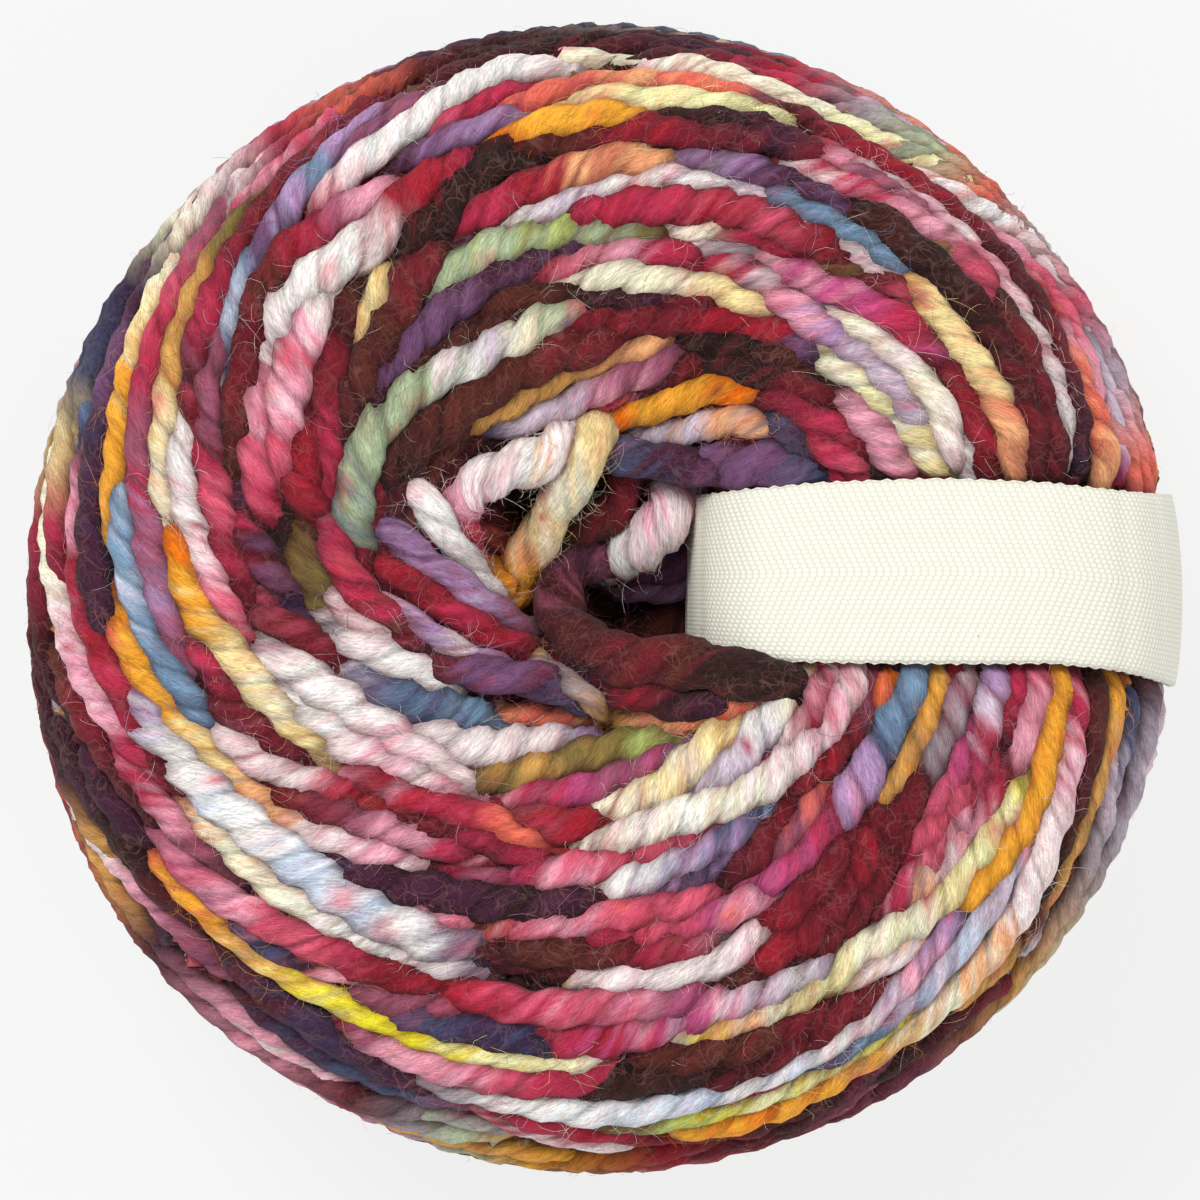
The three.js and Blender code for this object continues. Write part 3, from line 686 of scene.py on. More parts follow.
# The strands of the top, as seen from above, in millimetres at the height of the cake's top: width, dyes in
# order along the strand, then pairs of X and Y. A star and a number repeat a dye.
topStrands = [
    (3.4, "maroon darkBrown plum maroon darkBrown brown",
     (19, 60.3, 12, 62, 4, 62.8, -4, 62.6, -10, 62, -16, 61, -22, 59)),
    (2.6, "sage grey lavender*2 raspberry crimson raspberry maroon",
     (39, 50.2, 36, 52.4, 33, 54, 29, 56.4, 25, 58.2, 20, 59.8, 16, 60.7, 12, 61.4)),
    (3.0, "coral*2 butter paleYellow*4 cream*3 palePink raspberry",
     (45.5, 44.5, 43, 46.3, 40, 47.8, 36, 50, 32, 52, 28, 54, 24, 55.9, 20, 57.7, 16, 59, 12, 60.1, 8, 60.7,
      5, 61)),
    (2.7, "wine*2 mauve coral*2 peach coral*2 raspberry wine",
     (22, 54.8, 18, 56, 14, 57.4, 9, 58.3, 4, 58.2, 0, 58, -4, 57, -8, 55.7, -11, 54.6)),
    (2.9, "butter*2 paleYellow*4 butter peach lilac",
     (23.5, 52.4, 20, 53.7, 16, 54.8, 12, 55.4, 8, 55.8, 4, 55.8, 0, 56.1, -3, 55.8, -6, 54.9)),
    (3.2, "tan orange*3 deepOrange orange", (6, 53.5, 3, 53.6, 0, 53.5, -4, 52.9, -8, 52, -11, 51.2)),
    (2.6, "lilac*2 purple*2 plum*2", (-7, 54.8, -10, 53.9, -13, 52.8, -16, 51.8, -20, 50, -24, 48.3)),
    (2.6, "wine raspberry*2 rose mauve", (-9, 58.2, -12, 56.8, -16, 54.5, -19, 52.8, -21, 51.2)),
    (3.1, "wine palePink white*4 palePink rose mauve",
     (-6, 60.4, -10, 59.7, -14, 57.9, -18, 55.3, -22, 52.2, -26, 49.4, -29, 46.7, -31.5, 44.8)),
    (2.7, "plum mauve*2 lilac*2 blue lilac purple blue paleBlue slate grey*2 slate",
     (-24, 55.5, -27, 53.3, -30, 50, -32.5, 47, -34.5, 44.5, -36, 41.5, -38, 38.6, -39.6, 36, -40.5, 33,
      -41.2, 29.5, -42, 26, -42.8, 22)),
    (2.6, "plum mauve pink mauve raspberry wine", (-21, 46.3, -25, 45, -28, 43.6, -30.5, 41.6, -33, 39.2)),
    (3.9, "raspberry*2 crimson*2 palePink white*3 palePink pink mauve",
     (-15.5, 48.5, -18, 46.8, -20.5, 45.3, -22.5, 43.3, -24.5, 41, -27, 38.8, -30, 37, -33, 34.5,
      -35.5, 31.5, -36.3, 28.5, -37, 26)),
    (3.8, "palePink*2 white pink rose pink rose*2 raspberry mauve",
     (-29.5, 34.5, -31, 32.5, -32.8, 29.5, -33.8, 26.5, -34.7, 23, -35, 19, -35, 16, -36, 12.5)),
    (3.0, "tan orange butter*3 tan", (-22, 37.5, -23, 36, -24.2, 34, -25, 31.5, -26.2, 29.5, -27.2, 27.6)),
    (3.6, "brown darkBrown*4 brown", (-4, 50.2, -9, 49.2, -13, 47.3, -16.5, 44.2, -19.5, 41.2, -23, 38)),
    (3.0, "raspberry wine plum wine crimson wine brown darkBrown*2",
     (26, 49, 22, 50.6, 18, 51.4, 14, 51.2, 10, 51.6, 6, 52.4, 2, 51.5, -3, 50.8, -8, 50.2, -14, 49.6)),
    (2.4, "wine plum darkBrown*2 brown", (22, 52, 17, 52.9, 12, 53.3, 8, 53.2, 4, 52.9)),
    (3.0, "indigo plum maroon wine maroon*2 wine crimson*2 wine maroon wine*2",
     (54, 17, 52.8, 21.5, 51.3, 26, 49.8, 30.5, 47.5, 34.8, 44.5, 38.8, 41, 42.3, 37, 45.9, 33, 48.5,
      28, 51.2, 24, 53.2, 20, 54.9, 16, 56.3)),
    (2.6, "maroon plum maroon wine maroon", (62, 11.5, 61, 16, 59.8, 21, 58, 26, 56, 30.5)),
    (2.4, "mauve magenta lavender*2 grey palePink pink rose raspberry",
     (60.2, 12.5, 59.3, 16, 58.3, 19.5, 57.5, 23, 56.3, 26.5, 54.8, 30, 53, 33.5, 50.5, 37.2)),
    (2.8, "peach coral peach coral*2 pink crimson raspberry rose raspberry",
     (58, 12.8, 57.3, 16, 56, 19, 54.5, 22.5, 53.5, 26, 52.3, 29, 51, 32, 48.5, 35.5, 45.5, 39)),
    (2.6, "peach pink*2 rose*2 pink raspberry maroon",
     (57, 21, 55.5, 26, 53.8, 30.3, 51.8, 34, 49, 37.4, 45.5, 40.7, 42, 43.5)),
    (3.0, "mauve pink palePink white*2 palePink coral",
     (52, 36.5, 50, 39.3, 47, 41.8, 44, 43.7, 41.5, 44.9, 39, 46.5, 36, 48.5)),
    (2.2, "grey palePink white palePink white palePink pink "
     "rose palePink pink palePink rose raspberry mauve wine",
     (52, 16, 51.5, 21, 50.5, 25, 49.3, 28, 47.8, 31, 46, 34.2, 44.3, 37, 41.8, 39.6, 40, 41.8, 37, 43.8,
      34.5, 45.2, 32, 46.8, 29, 48.3, 26, 49.8, 23, 51.2, 20, 52)),
    (3.0, "maroon wine raspberry rose pink*2 raspberry*2 palePink lavender grey",
     (45.8, 29.5, 44.2, 32.5, 42.6, 35.5, 40.8, 38, 38.5, 40, 35.5, 42, 32.5, 43.6, 29.5, 45.3, 26, 46.7,
      23, 48, 19.5, 49)),
    (2.4, "raspberry pink mauve pink raspberry wine",
     (38.5, 41.5, 35, 44, 31, 46.5, 27.5, 48.5, 23.5, 50.2, 20, 51)),
    (3.4, "brown darkBrown wine maroon darkBrown*2 brown darkBrown plum",
     (49, 14.5, 48, 19, 46.7, 24, 44.5, 28.5, 42, 32, 38.5, 35.5, 35, 38.5, 32, 41, 29, 42.8, 26, 44.3)),
    (3.0, "wine maroon wine*2 brown darkBrown tan",
     (51, 14, 50.3, 18, 49.2, 22, 47.8, 26, 46, 30, 43.8, 33, 41, 36)),
    (2.4, "brown slate tan darkBrown", (42, 36.5, 39, 38.5, 36, 40.5, 33, 42.3)),
    (3.1, "wine coral peach*2 butter*3 tan*2 slate",
     (46.6, 14.5, 45.8, 18, 44.5, 21, 43, 23.8, 41.3, 26.3, 39.6, 28.7, 38, 31, 36.5, 33.3, 35, 35.5,
      33.5, 37.8)),
    (3.2, "darkBrown wine crimson wine maroon mauve",
     (43.5, 14, 42.5, 17.5, 41.5, 20.5, 39.8, 24, 38, 27.5, 36.5, 30)),
    (2.8, "slate blue*5 slate indigo",
     (34.6, 34.6, 33, 37, 30.5, 39, 28, 40.5, 25, 42, 22, 43.4, 19, 44.8, 16, 46.3)),
    (2.9, "crimson pink palePink*3 lavender white*3 lavender white palePink grey",
     (34, 33.5, 31.5, 36, 28.5, 38, 25.5, 39.9, 22.5, 41.7, 19, 43.7, 15, 45.3, 11, 46.2, 7, 46.7, 3, 46,
      -1, 45.2, -5, 43.6, -9, 42.3, -12, 41.8)),
    (3.0, "darkBrown indigo purple plum purple*2 lilac grey",
     (31, 40.8, 28, 42.8, 25, 44.4, 21.5, 46, 18, 47.2, 14.5, 48.4, 11, 49.2, 7.5, 49.4)),
    (2.9, "brown tan peach*2 crimson raspberry crimson wine",
     (7.5, 48.6, 4, 48.9, 0.5, 48.5, -2.5, 47.6, -6, 46.3, -9.5, 44.9, -13, 43.2, -16, 41.6)),
    (3.4, "maroon wine crimson rose crimson raspberry*2 wine mauve",
     (29, 37, 25.5, 39, 22, 40.5, 18.5, 42, 14.5, 43.3, 10, 43.6, 5, 43.7, 0, 42.9, -5, 42)),
    (2.6, "maroon wine crimson raspberry cream palePink grey",
     (27.5, 36.6, 24, 38.4, 20.5, 39.3, 17, 40.3, 13.5, 40.9, 10, 41.2, 6, 41)),
    (2.2, "palePink grey palePink brown", (20, 38.3, 16, 38.6, 12, 39.3, 8, 39.9)),
    (3.0, "brown olive*2 sage green sage*3 blue slate",
     (8, 39.6, 4, 40.9, 0, 41, -3, 40.9, -6, 40.5, -9.5, 39.7, -13, 38.3, -16, 36.2, -18.3, 34, -20, 31.8)),
    (2.8, "mauve wine raspberry pink rose crimson maroon",
     (13, 36.5, 9, 38, 5, 39, 1.5, 38.7, -2, 37.8, -5.5, 36.6, -9, 35.8)),
    (3.1, "raspberry plum purple plum*2 purple*3 plum*2",
     (2, 39.8, -3, 39, -7, 37.5, -11, 36, -14.5, 34.2, -17.5, 32, -20, 29.3, -22.3, 26.5, -24.2, 23.8,
      -26, 20.8)),
    (3.3, "tan butter*3 cream*4 tan",
     (20.5, 30.2, 17.5, 32.2, 14, 33.8, 10.5, 34.8, 7, 35.2, 3.5, 35.7, 0, 35.8, -3, 35.3, -6.5, 35)),
    (3.1, "raspberry*2 lavender*3 lilac pink mauve raspberry palePink brown",
     (36.6, 17.2, 35, 20, 33, 22.8, 31, 25.5, 28.5, 27.6, 25.5, 29.3, 22.5, 31.3, 20, 33.8, 17.5, 35.8,
      14, 37.3, 10, 38.6)),
    (3.2, "wine mauve maroon raspberry magenta*2 pink*2 palePink",
     (38.8, 23, 37, 26.8, 34.8, 29.6, 32, 31.5, 29, 33.3, 26, 34.8, 23, 35.7, 20, 36.6, 16, 38)),
    (2.4, "mauve rose wine olive maroon wine",
     (35.5, 31.5, 33.8, 33.7, 31.5, 35.3, 28.5, 36, 25, 37, 21.5, 37.7)),
    (2.9, "sage olive palePink cream palePink cream palePink mauve",
     (39.3, 14.2, 38.9, 17, 38.3, 19.8, 37, 22.5, 35, 25, 32.7, 27, 30.3, 28.8, 27.5, 30.3, 24.5, 32)),
    (2.6, "lavender white palePink", (41.5, 14, 40.5, 16.5, 39.8, 19)),
    (3.5, "butter*3 cream paleYellow cream*2 sage tan",
     (38.2, 13.8, 36.8, 16.3, 35, 18.4, 32.8, 20.3, 30.5, 22.2, 28.3, 24.3, 26.2, 26.4, 24, 28.3,
      21.5, 30.3)),
    (3.3, "raspberry*2 pink*2 maroon darkBrown", (34, 13.9, 32.6, 16, 31, 18, 29.3, 20, 27.3, 22, 24.8, 24)),
    (2.8, "coral rose raspberry wine*2", (30, 14, 27.8, 15.3, 25.3, 17, 22.8, 18.9, 20, 20.5)),
    (3.0, "crimson wine raspberry maroon brown", (29.8, 15.8, 27.5, 18, 24.5, 19.8, 21, 21.7, 17.5, 23)),
    (3.2, "maroon brown wine darkBrown*2 brown",
     (28.3, 19.5, 25, 21.8, 21.5, 23.8, 18, 25.2, 14, 26.2, 10, 27.5)),
    (3.0, "darkBrown brown darkBrown*2 brown", (24, 25.8, 20, 27.2, 16, 28, 12, 28.5, 8, 28.8)),
    (3.2, "indigo*2 purple crimson*2 wine*3 crimson*2 wine brown",
     (25, 26.3, 22, 28.2, 19, 29.3, 15.5, 30.3, 12, 31.2, 8, 31.2, 4, 30.8, 0, 30.3, -4, 29.5, -7.5, 28,
      -11, 26.2, -14.5, 24)),
    (2.7, "crimson*2 wine plum darkBrown brown*3",
     (16, 31.8, 12, 32.9, 8, 33.1, 3.5, 33.3, -1, 33.7, -5.5, 33.6, -10, 33, -14, 31.5)),
    (3.5, "wine pink rose sage cream lavender white sage*6 slate*2",
     (-1, 32.6, -3.5, 32, -6, 30.8, -8.5, 29, -11, 28.3, -13.5, 26.8, -16, 25.8, -18.8, 24.6, -21, 22.8,
      -23.3, 20.8, -25.2, 18.3, -26.4, 15.5, -27, 12.5, -27.2, 10, -26.6, 7.5)),
    (3.0, "brown darkBrown brown*2 darkBrown plum*2 maroon",
     (-6, 32.2, -10, 31, -13.5, 29, -17, 27.3, -20, 25.7, -23, 23, -25.8, 19.5, -27.6, 16)),
    (3.0, "brown tan peach tan*4 grey",
     (9, 28.2, 5.5, 28, 2, 27, -1.5, 26.2, -5, 24.6, -8.5, 22.7, -11.5, 20.6, -14, 18.9)),
    (3.6, "wine*3 brown*3 darkBrown maroon",
     (3, 29, -2, 28.2, -6, 26.8, -10, 24.8, -14, 22.3, -17.5, 19.8, -20.5, 17, -22.8, 13.5)),
    (2.9, "maroon purple mauve pink lavender*2 slate mauve",
     (9, 26.7, 5.5, 25.6, 2, 24.2, -1, 22.9, -4, 21.3, -7, 20, -10, 18.9, -13, 18.3)),
    (2.3, "wine mauve raspberry pink lavender", (7, 25.2, 3.5, 23, 0, 21.4, -3, 20, -5.5, 18.8)),
    (2.6, "darkBrown wine maroon mauve", (14, 26.3, 10, 25.9, 7, 24.6, 3.5, 22.6)),
    (2.9, "brown deepOrange*2 orange*2 deepOrange orange*2 deepOrange",
     (17.5, 22.8, 14.5, 23.3, 12, 23.2, 9, 22.2, 6, 21, 3, 20.1, 0, 19.2, -3, 18.5, -5.5, 18.2)),
    (2.8, "slate grey peach lavender*2 blue brown",
     (20, 18.4, 17.5, 19.4, 15, 19.8, 12, 19.2, 9.5, 18.4, 6.5, 17.8, 3.5, 17.2)),
    (3.6, "slate*2 purple*3 plum darkBrown",
     (24, 14.2, 21, 14.6, 18, 14.8, 15, 14.6, 12, 15, 9, 15, 5, 15.6)),
    (2.8, "plum*2 slate brown", (24.5, 15.2, 22.5, 17, 20.5, 19, 18, 21.5)),
    (3.0, "darkBrown brown plum maroon mauve purple mauve",
     (-14, 60, -18, 58, -21.5, 55.7, -24.5, 53, -27.5, 50.3, -30.3, 47.5)),
    (3.0, "maroon coral pink*2 rose raspberry pink raspberry mauve",
     (-23, 58.8, -26, 57.2, -29.2, 55.2, -32.3, 52.5, -35.2, 49.5, -37.8, 46.8, -40.3, 43.8, -42.5, 40.8)),
    (2.6, "rose raspberry*2 pink palePink pink raspberry",
     (-28, 57.2, -31.5, 55.2, -34.8, 52.8, -37.8, 50.2, -40.5, 47.3, -42.8, 44.3, -44.8, 41.3)),
    (3.0, "tan butter cream*5 palePink pink*2 raspberry*2 wine",
     (-58, 27, -59.6, 22, -60.8, 18, -61.8, 13, -62.2, 8, -62, 3, -61, -1, -59.6, -5, -57.5, -8.5,
      -55, -11.8, -52.5, -15, -50, -17.6, -47, -20.5)),
    (2.9, "plum grey mauve pink crimson raspberry crimson raspberry*2 wine maroon wine",
     (-58.3, 16, -58.6, 12, -58.8, 8, -58.5, 4.5, -58.3, 1, -57.2, -2, -55.8, -5, -54.4, -8, -52.6, -11.3,
      -50.3, -15, -47.5, -18.5, -44, -21.5)),
    (2.6, "palePink lilac purple slate blue*2 slate plum",
     (-46.5, 42.5, -49.5, 39.5, -52, 36, -54.3, 32, -56.3, 28, -57.6, 24, -58.4, 20, -59.3, 16)),
    (3.0, "lilac plum purple plum purple indigo plum*2 indigo maroon",
     (-51, 36, -53, 31.5, -54.7, 27, -55.8, 22.5, -56.6, 17, -57, 11, -57, 6, -56.3, 1.5, -55.2, -2.5,
      -54, -6.5)),
    (3.0, "pink palePink cream*2 butter cream butter orange*4 tan",
     (-43, 47, -45.5, 44, -47.8, 40.5, -49.6, 36.5, -51, 32.5, -52.1, 28.5, -52.8, 24.5, -53.4, 20.5,
      -53.8, 16.5, -54.2, 12.5, -54.6, 9, -54.8, 5.5)),
    (2.9, "palePink raspberry rose palePink*2 mauve*2 rose raspberry*2 "
     "mauve raspberry mauve lilac mauve lilac plum",
     (-40.5, 48, -42.5, 44.5, -44.7, 41, -46.3, 38, -47.8, 34.5, -49.2, 30.5, -50.2, 26.5, -50.9, 22.5,
      -51.2, 18, -51, 13.5, -50.5, 9, -49.9, 5, -49, 1, -48.2, -2.5, -47, -6, -45.8, -9)),
    (3.0, "wine tan olive*2 tan*3 butter cream*3 butter",
     (-37, 46.5, -39.5, 43.5, -41.8, 40, -43.8, 36.5, -45.5, 33, -46.8, 29.5, -47.8, 26, -48.4, 22,
      -48.7, 18, -48.8, 14, -48.4, 10, -47.6, 6.5)),
    (3.4, "deepOrange orange deepOrange orange*2 butter*2 cream butter*2 tan maroon",
     (-47.2, 9, -46.6, 5.5, -46.1, 2.5, -44.8, -0.5, -43.2, -3, -41.3, -5.6, -39.2, -8, -37, -10.4,
      -34.8, -12.8, -32.7, -15, -30.8, -17, -29, -19)),
    (3.0, "wine pink white palePink*2 pink rose*2 wine",
     (-45.8, 20.5, -46.5, 17, -46.6, 13.5, -46, 10.5, -45, 7.5, -44, 4.8, -42.6, 2, -41.2, -0.8,
      -39.8, -3.3)),
    (3.0, "maroon mauve wine raspberry rose raspberry wine maroon*2",
     (-45.3, 26, -45, 22, -44.2, 18, -43.2, 14.5, -42.6, 11, -42, 7.5, -41, 4, -39.6, 0.8, -38, -2)),
    (2.8, "slate blue*3 paleBlue blue*3 slate*2",
     (-52.4, 14.5, -52.9, 10.5, -52.9, 7, -52.3, 3.5, -51.4, 0, -50.2, -3.2, -48.7, -6.2, -47, -9,
      -45.3, -11.7, -43.5, -14.5)),
    (3.1, "deepOrange orange*5 butter*2 peach*2 palePink*2 pink palePink pink rose",
     (-54, 0.5, -53.3, -3, -52, -6, -50.2, -9, -48.2, -11.8, -46, -14.3, -43.8, -16.7, -41.5, -19.2,
      -39, -21.6, -36, -23.8, -32.5, -25.6, -29, -27, -25.5, -28.2, -22.5, -29, -19.8, -29.5)),
    (3.6, "mauve*2 lilac lavender white paleBlue white*2 paleBlue*3 white lavender slate indigo",
     (-52.5, -9.5, -51, -12.5, -49, -15.3, -46.8, -17.8, -44.3, -20.2, -41.5, -22.8, -38.5, -25.3,
      -35.3, -27.8, -32, -30.2, -28.8, -32.5, -25.5, -34.5, -22, -36.2, -18.5, -37.6, -15, -38.5)),
    (3.0, "mauve pink peach cream*3 white*3 palePink lavender lilac mauve",
     (-46.5, -22, -44, -24.3, -41.5, -26.8, -39, -29, -36.3, -31.3, -33.3, -33.5, -30, -35.5, -26.8, -37.2,
      -23.5, -38.6, -20, -39.7, -16.5, -40.8, -13.5, -41.7)),
    (2.8, "maroon raspberry*2 pink mauve maroon darkBrown",
     (-54.5, -16, -52.3, -19, -50, -21.8, -47.6, -24.3, -45, -27, -42, -29.5, -39, -31.8)),
    (2.9, "wine mauve raspberry mauve pink rose*2 raspberry wine crimson*2 wine",
     (-49, -26.5, -46.5, -29, -44, -31.3, -41, -33.5, -38, -35.2, -34.8, -36.8, -31.5, -38.3, -28, -39.8,
      -24.5, -41.2, -21, -42, -17, -42.8)),
    (2.4, "plum mauve slate plum pink coral*2 wine",
     (-42.5, -35.3, -39.5, -37.2, -36.5, -38.8, -33, -40.2, -29.5, -41, -26, -42, -22.5, -42.8,
      -18.5, -43.5)),
    (2.4, "coral*3 orange*2 tan butter yellow*5 paleYellow*3 cream*2 white mauve",
     (-50.5, -29, -48, -31.2, -45.3, -33.8, -42.8, -36.2, -40, -38.5, -37, -40.6, -33.8, -42.5, -30.5, -44.2,
      -27, -45.8, -23.5, -47.3, -20, -48.6, -16, -49.9, -12, -50.7, -8, -51.3, -4, -51.6, 0, -51.3,
      3, -50.8)),
    (3.2, "plum brown*2 wine maroon brown",
     (-61, -8, -59.5, -11.5, -57, -15, -54, -18.5, -51, -22, -48, -25.5)),
    (3.2, "maroon brown darkBrown plum darkBrown maroon darkBrown",
     (-61.5, -14, -60, -18, -58, -22, -55, -26, -52, -29.5, -49, -33, -46, -36)),
    (3.0, "darkBrown plum darkBrown", (-57, -20, -54.5, -24, -51.5, -27.5)),
    (2.4, "mauve plum*3 lavender maroon",
     (-63.3, 6, -63.3, 1, -63, -4, -62.2, -8.5, -61.6, -12.5, -60.8, -16)),
    (2.8, "orange tan peach palePink*2 pink mauve*2 plum",
     (-59.8, -21, -58.3, -25, -56, -28.6, -53.3, -31.8, -50.3, -34.8, -47.3, -37.6, -44, -40.3, -40.5, -43)),
    (2.8, "darkBrown palePink cream palePink*2 pink rose raspberry",
     (-47, -41.5, -44, -44.8, -41, -47.5, -38, -49.8, -34.8, -52, -31.5, -54, -28, -55.6, -24, -57)),
    (3.2, "maroon mauve raspberry*2 maroon brown coral",
     (-29.8, 8, -29, 5, -27.8, 2.5, -26, 0.2, -23.8, -1.6, -21.5, -3.2, -19, -4.8)),
    (3.6, "brown*2 olive maroon", (-33, 8, -32.8, 5, -31.8, 2.3, -30.3, -0.5)),
    (2.6, "purple indigo purple", (-36, 2.5, -34.5, 0, -32.5, -2.5)),
    (3.0, "brown wine*2 raspberry*2 maroon",
     (-28.5, 31.5, -29.3, 27.5, -29.9, 23.5, -30.3, 19.5, -30.2, 16, -29.8, 12.5)),
    (3.4, "maroon wine crimson wine maroon", (-31.6, 22, -32.5, 18.5, -33.2, 15.3, -32.8, 12.3, -31.6, 9.5)),
    (3.0, "mauve pink*2 rose raspberry mauve",
     (-37.4, 26.5, -37.9, 23.5, -38.3, 20, -38.3, 16.5, -37.7, 13, -36.5, 10)),
    (3.2, "raspberry*2 crimson brown wine*2 brown*2 maroon",
     (-30.5, 42, -33.5, 39.8, -36, 37, -37.8, 33.8, -38.8, 30, -39.4, 26, -40, 22, -40.5, 18, -40.8, 14)),
    (3.2, "maroon crimson*2 wine*4 raspberry maroon mauve",
     (-27, 55.5, -30, 52.8, -33, 49.5, -35.8, 46, -38.3, 42.3, -40.6, 38.5, -42.3, 34.8, -43.8, 31,
      -44.6, 27, -45, 23)),
    (2.8, "indigo brown mauve*2 wine maroon",
     (-41.5, 32, -42.6, 28, -43.5, 24, -43.5, 20, -42.6, 16.5, -41.5, 13)),
    (3.4, "darkBrown brown wine brown*2 maroon plum",
     (-18, 39.5, -20.3, 36.3, -22, 33, -23.7, 29.5, -25.6, 26, -27.3, 22.3, -28.4, 18.5)),
    (2.8, "brown*2 maroon*2", (-27, 35.5, -28.3, 32, -28.6, 28.5, -28.7, 25)),
    (3.0, "wine raspberry*2 maroon mauve purple indigo", (-41, 10, -39.5, 7, -37.5, 4.5, -35.3, 2, -33, -1)),
    (3.0, "maroon rose wine*2 maroon", (-39.5, 0.5, -37, -1.5, -34, -3.5, -31, -5, -28, -6.5)),
    (3.0, "darkBrown brown maroon indigo*2 plum*2 mauve",
     (-43, -38.5, -39.5, -42, -36, -45, -32.5, -47.3, -29, -49.5, -25.5, -51.6, -22, -53.4, -18.5, -55)),
    (3.0, "darkBrown maroon plum indigo slate*2 mauve*2",
     (-41, -45, -37.5, -47.8, -33.8, -50.3, -30, -52.4, -26, -54, -22, -55.3, -18, -56.2, -14, -57)),
    (2.8, "maroon wine mauve pink*2 rose raspberry*3 brown",
     (-30, -47, -26.5, -48.8, -23, -50.3, -19.5, -51.7, -16, -52.7, -12, -53.3, -8, -53.7, -4, -53.5,
      0, -52.8, 4, -52)),
    (2.5, "mauve grey*3 white*4 paleBlue*2 white paleBlue white*2 lavender pink lilac slate indigo plum",
     (-22, -52.3, -18, -54, -14, -55, -10, -55.9, -6, -56.5, -2, -57, 2, -57, 6, -56.6, 10, -55.7, 14, -54.6,
      18, -53.2, 22, -51.3, 25.5, -49.3, 29, -47, 31.8, -44.7, 34.2, -42.2, 36.3, -39.5, 38.3, -36.8,
      40.5, -34.3, 42.8, -32)),
    (2.2, "lavender grey tan orange tan orange*2 crimson",
     (-28, -57, -24, -58.7, -19.5, -60.3, -15, -61.5, -10, -62.2, -5, -62.8, 0, -63, 5, -63)),
    (2.2, "mauve sage*2 grey palePink", (-22, -57.6, -18.5, -58.5, -15, -59.2, -11.5, -60.2, -8, -61)),
    (2.2, "mauve raspberry palePink*2 raspberry crimson",
     (-15, -56.5, -11.5, -58.3, -8, -60, -4.5, -61.2, 0, -62, 5, -62.3)),
    (3.0, "wine raspberry crimson wine*3 maroon",
     (-13, -56.6, -9, -57.8, -5, -58.8, 0, -60, 5, -60.6, 10, -60.7, 15, -60)),
    (2.3, "brown olive*3 green yellow paleYellow*2 tan yellow*2 tan peach",
     (-3, -58, 1, -58.6, 5, -58.7, 9, -58.2, 13, -57.3, 17, -56.3, 21, -55, 24.5, -53.2, 27.5, -51.4,
      30.3, -49.4, 33, -47, 35.5, -44.5)),
    (3.0, "olive deepOrange orange*2 deepOrange orange*2 tan*2 "
     "cream*2 peach*2 palePink*4 pink raspberry*3 wine",
     (7, -59.6, 11, -59.5, 15, -58.7, 19, -57.5, 23, -55.7, 26.5, -53.7, 30, -51.5, 33.3, -49.2, 36.5, -46.8,
      39.5, -44, 42.3, -41, 44.8, -37.7, 46.8, -34.2, 48.4, -30.5, 49.7, -26.5, 50.8, -22.5, 51.6, -18.5,
      52.2, -14, 52.6, -9.5)),
    (2.6, "mauve lilac slate blue*2 lavender*2 paleBlue lavender*2 pink raspberry wine",
     (22, -53, 26, -50.8, 29.5, -48.5, 32.5, -46.2, 35.5, -43.7, 38, -41, 40.3, -38.2, 42.3, -35.5,
      44, -32.5, 45.5, -29.3, 46.8, -26, 47.8, -23)),
    (2.6, "maroon tan*3 brown tan*4 orange*2 tan",
     (40, -46.5, 43.5, -43.3, 46.5, -40, 49, -36.3, 51.2, -32.3, 53, -28.3, 54.6, -24.2, 56, -20,
      57.3, -15.5, 58.4, -11.3, 59, -8)),
    (2.8, "maroon darkBrown brown darkBrown brown maroon brown darkBrown brown",
     (44.5, -39.5, 47.5, -36, 50, -32, 51.8, -27.5, 53.3, -23, 54.6, -18, 55.5, -13, 56, -8.5)),
    (2.4, "maroon mauve*2 palePink grey lavender slate*2 lavender",
     (48.5, -40.3, 51.5, -36, 54, -31.8, 56, -27.3, 57.6, -22.8, 59, -18, 60.2, -13.5, 61.2, -9.5)),
    (3.0, "crimson wine darkBrown*2 maroon wine maroon brown",
     (10, -61, 16, -59.8, 21, -58.5, 26, -56.3, 31, -53.6, 35.5, -50.8, 39.5, -47.8, 43, -45)),
    (2.6, "brown orange*8 tan",
     (51.3, -7.5, 50.9, -11, 50.3, -14.5, 49.5, -18, 48.5, -21.2, 47, -24.5, 45.2, -27.7, 43, -30.7,
      40.8, -33.3, 38.5, -35.5)),
    (3.2, "brown yellow*2 paleYellow*3 butter cream*3 paleYellow butter cream peach yellow cream tan brown",
     (48.2, -17, 47, -20, 45.3, -23, 43.3, -26, 41.2, -29, 39, -31.8, 36.5, -34.3, 33.8, -36.5, 30.8, -38.3,
      27.5, -40.2, 24, -42.3, 20.3, -44.5, 16.5, -46.3, 12.5, -47.8, 9, -48.9, 5.5, -49.8)),
    (2.2, "tan peach palePink tan brown", (37.5, -35.8, 34.5, -38.2, 31.5, -40.2, 28.3, -41.8, 25, -43.6)),
    (3.0, "raspberry*2 rose pink wine raspberry pink palePink peach pink palePink",
     (49.6, -7.5, 48.9, -10.5, 47.7, -13.7, 46.3, -16.8, 44.6, -19.8, 42.6, -22.8, 40.3, -25.8, 38, -28.7,
      35.5, -31.5, 33, -34.2)),
    (2.8, "wine raspberry*2 maroon raspberry pink rose raspberry wine*2",
     (46.8, -7.5, 46.2, -11, 45.2, -14.5, 43.9, -18, 42.2, -21.5, 40.3, -24.5, 38.2, -27.3, 36, -30,
      33.5, -32.6, 30.8, -35)),
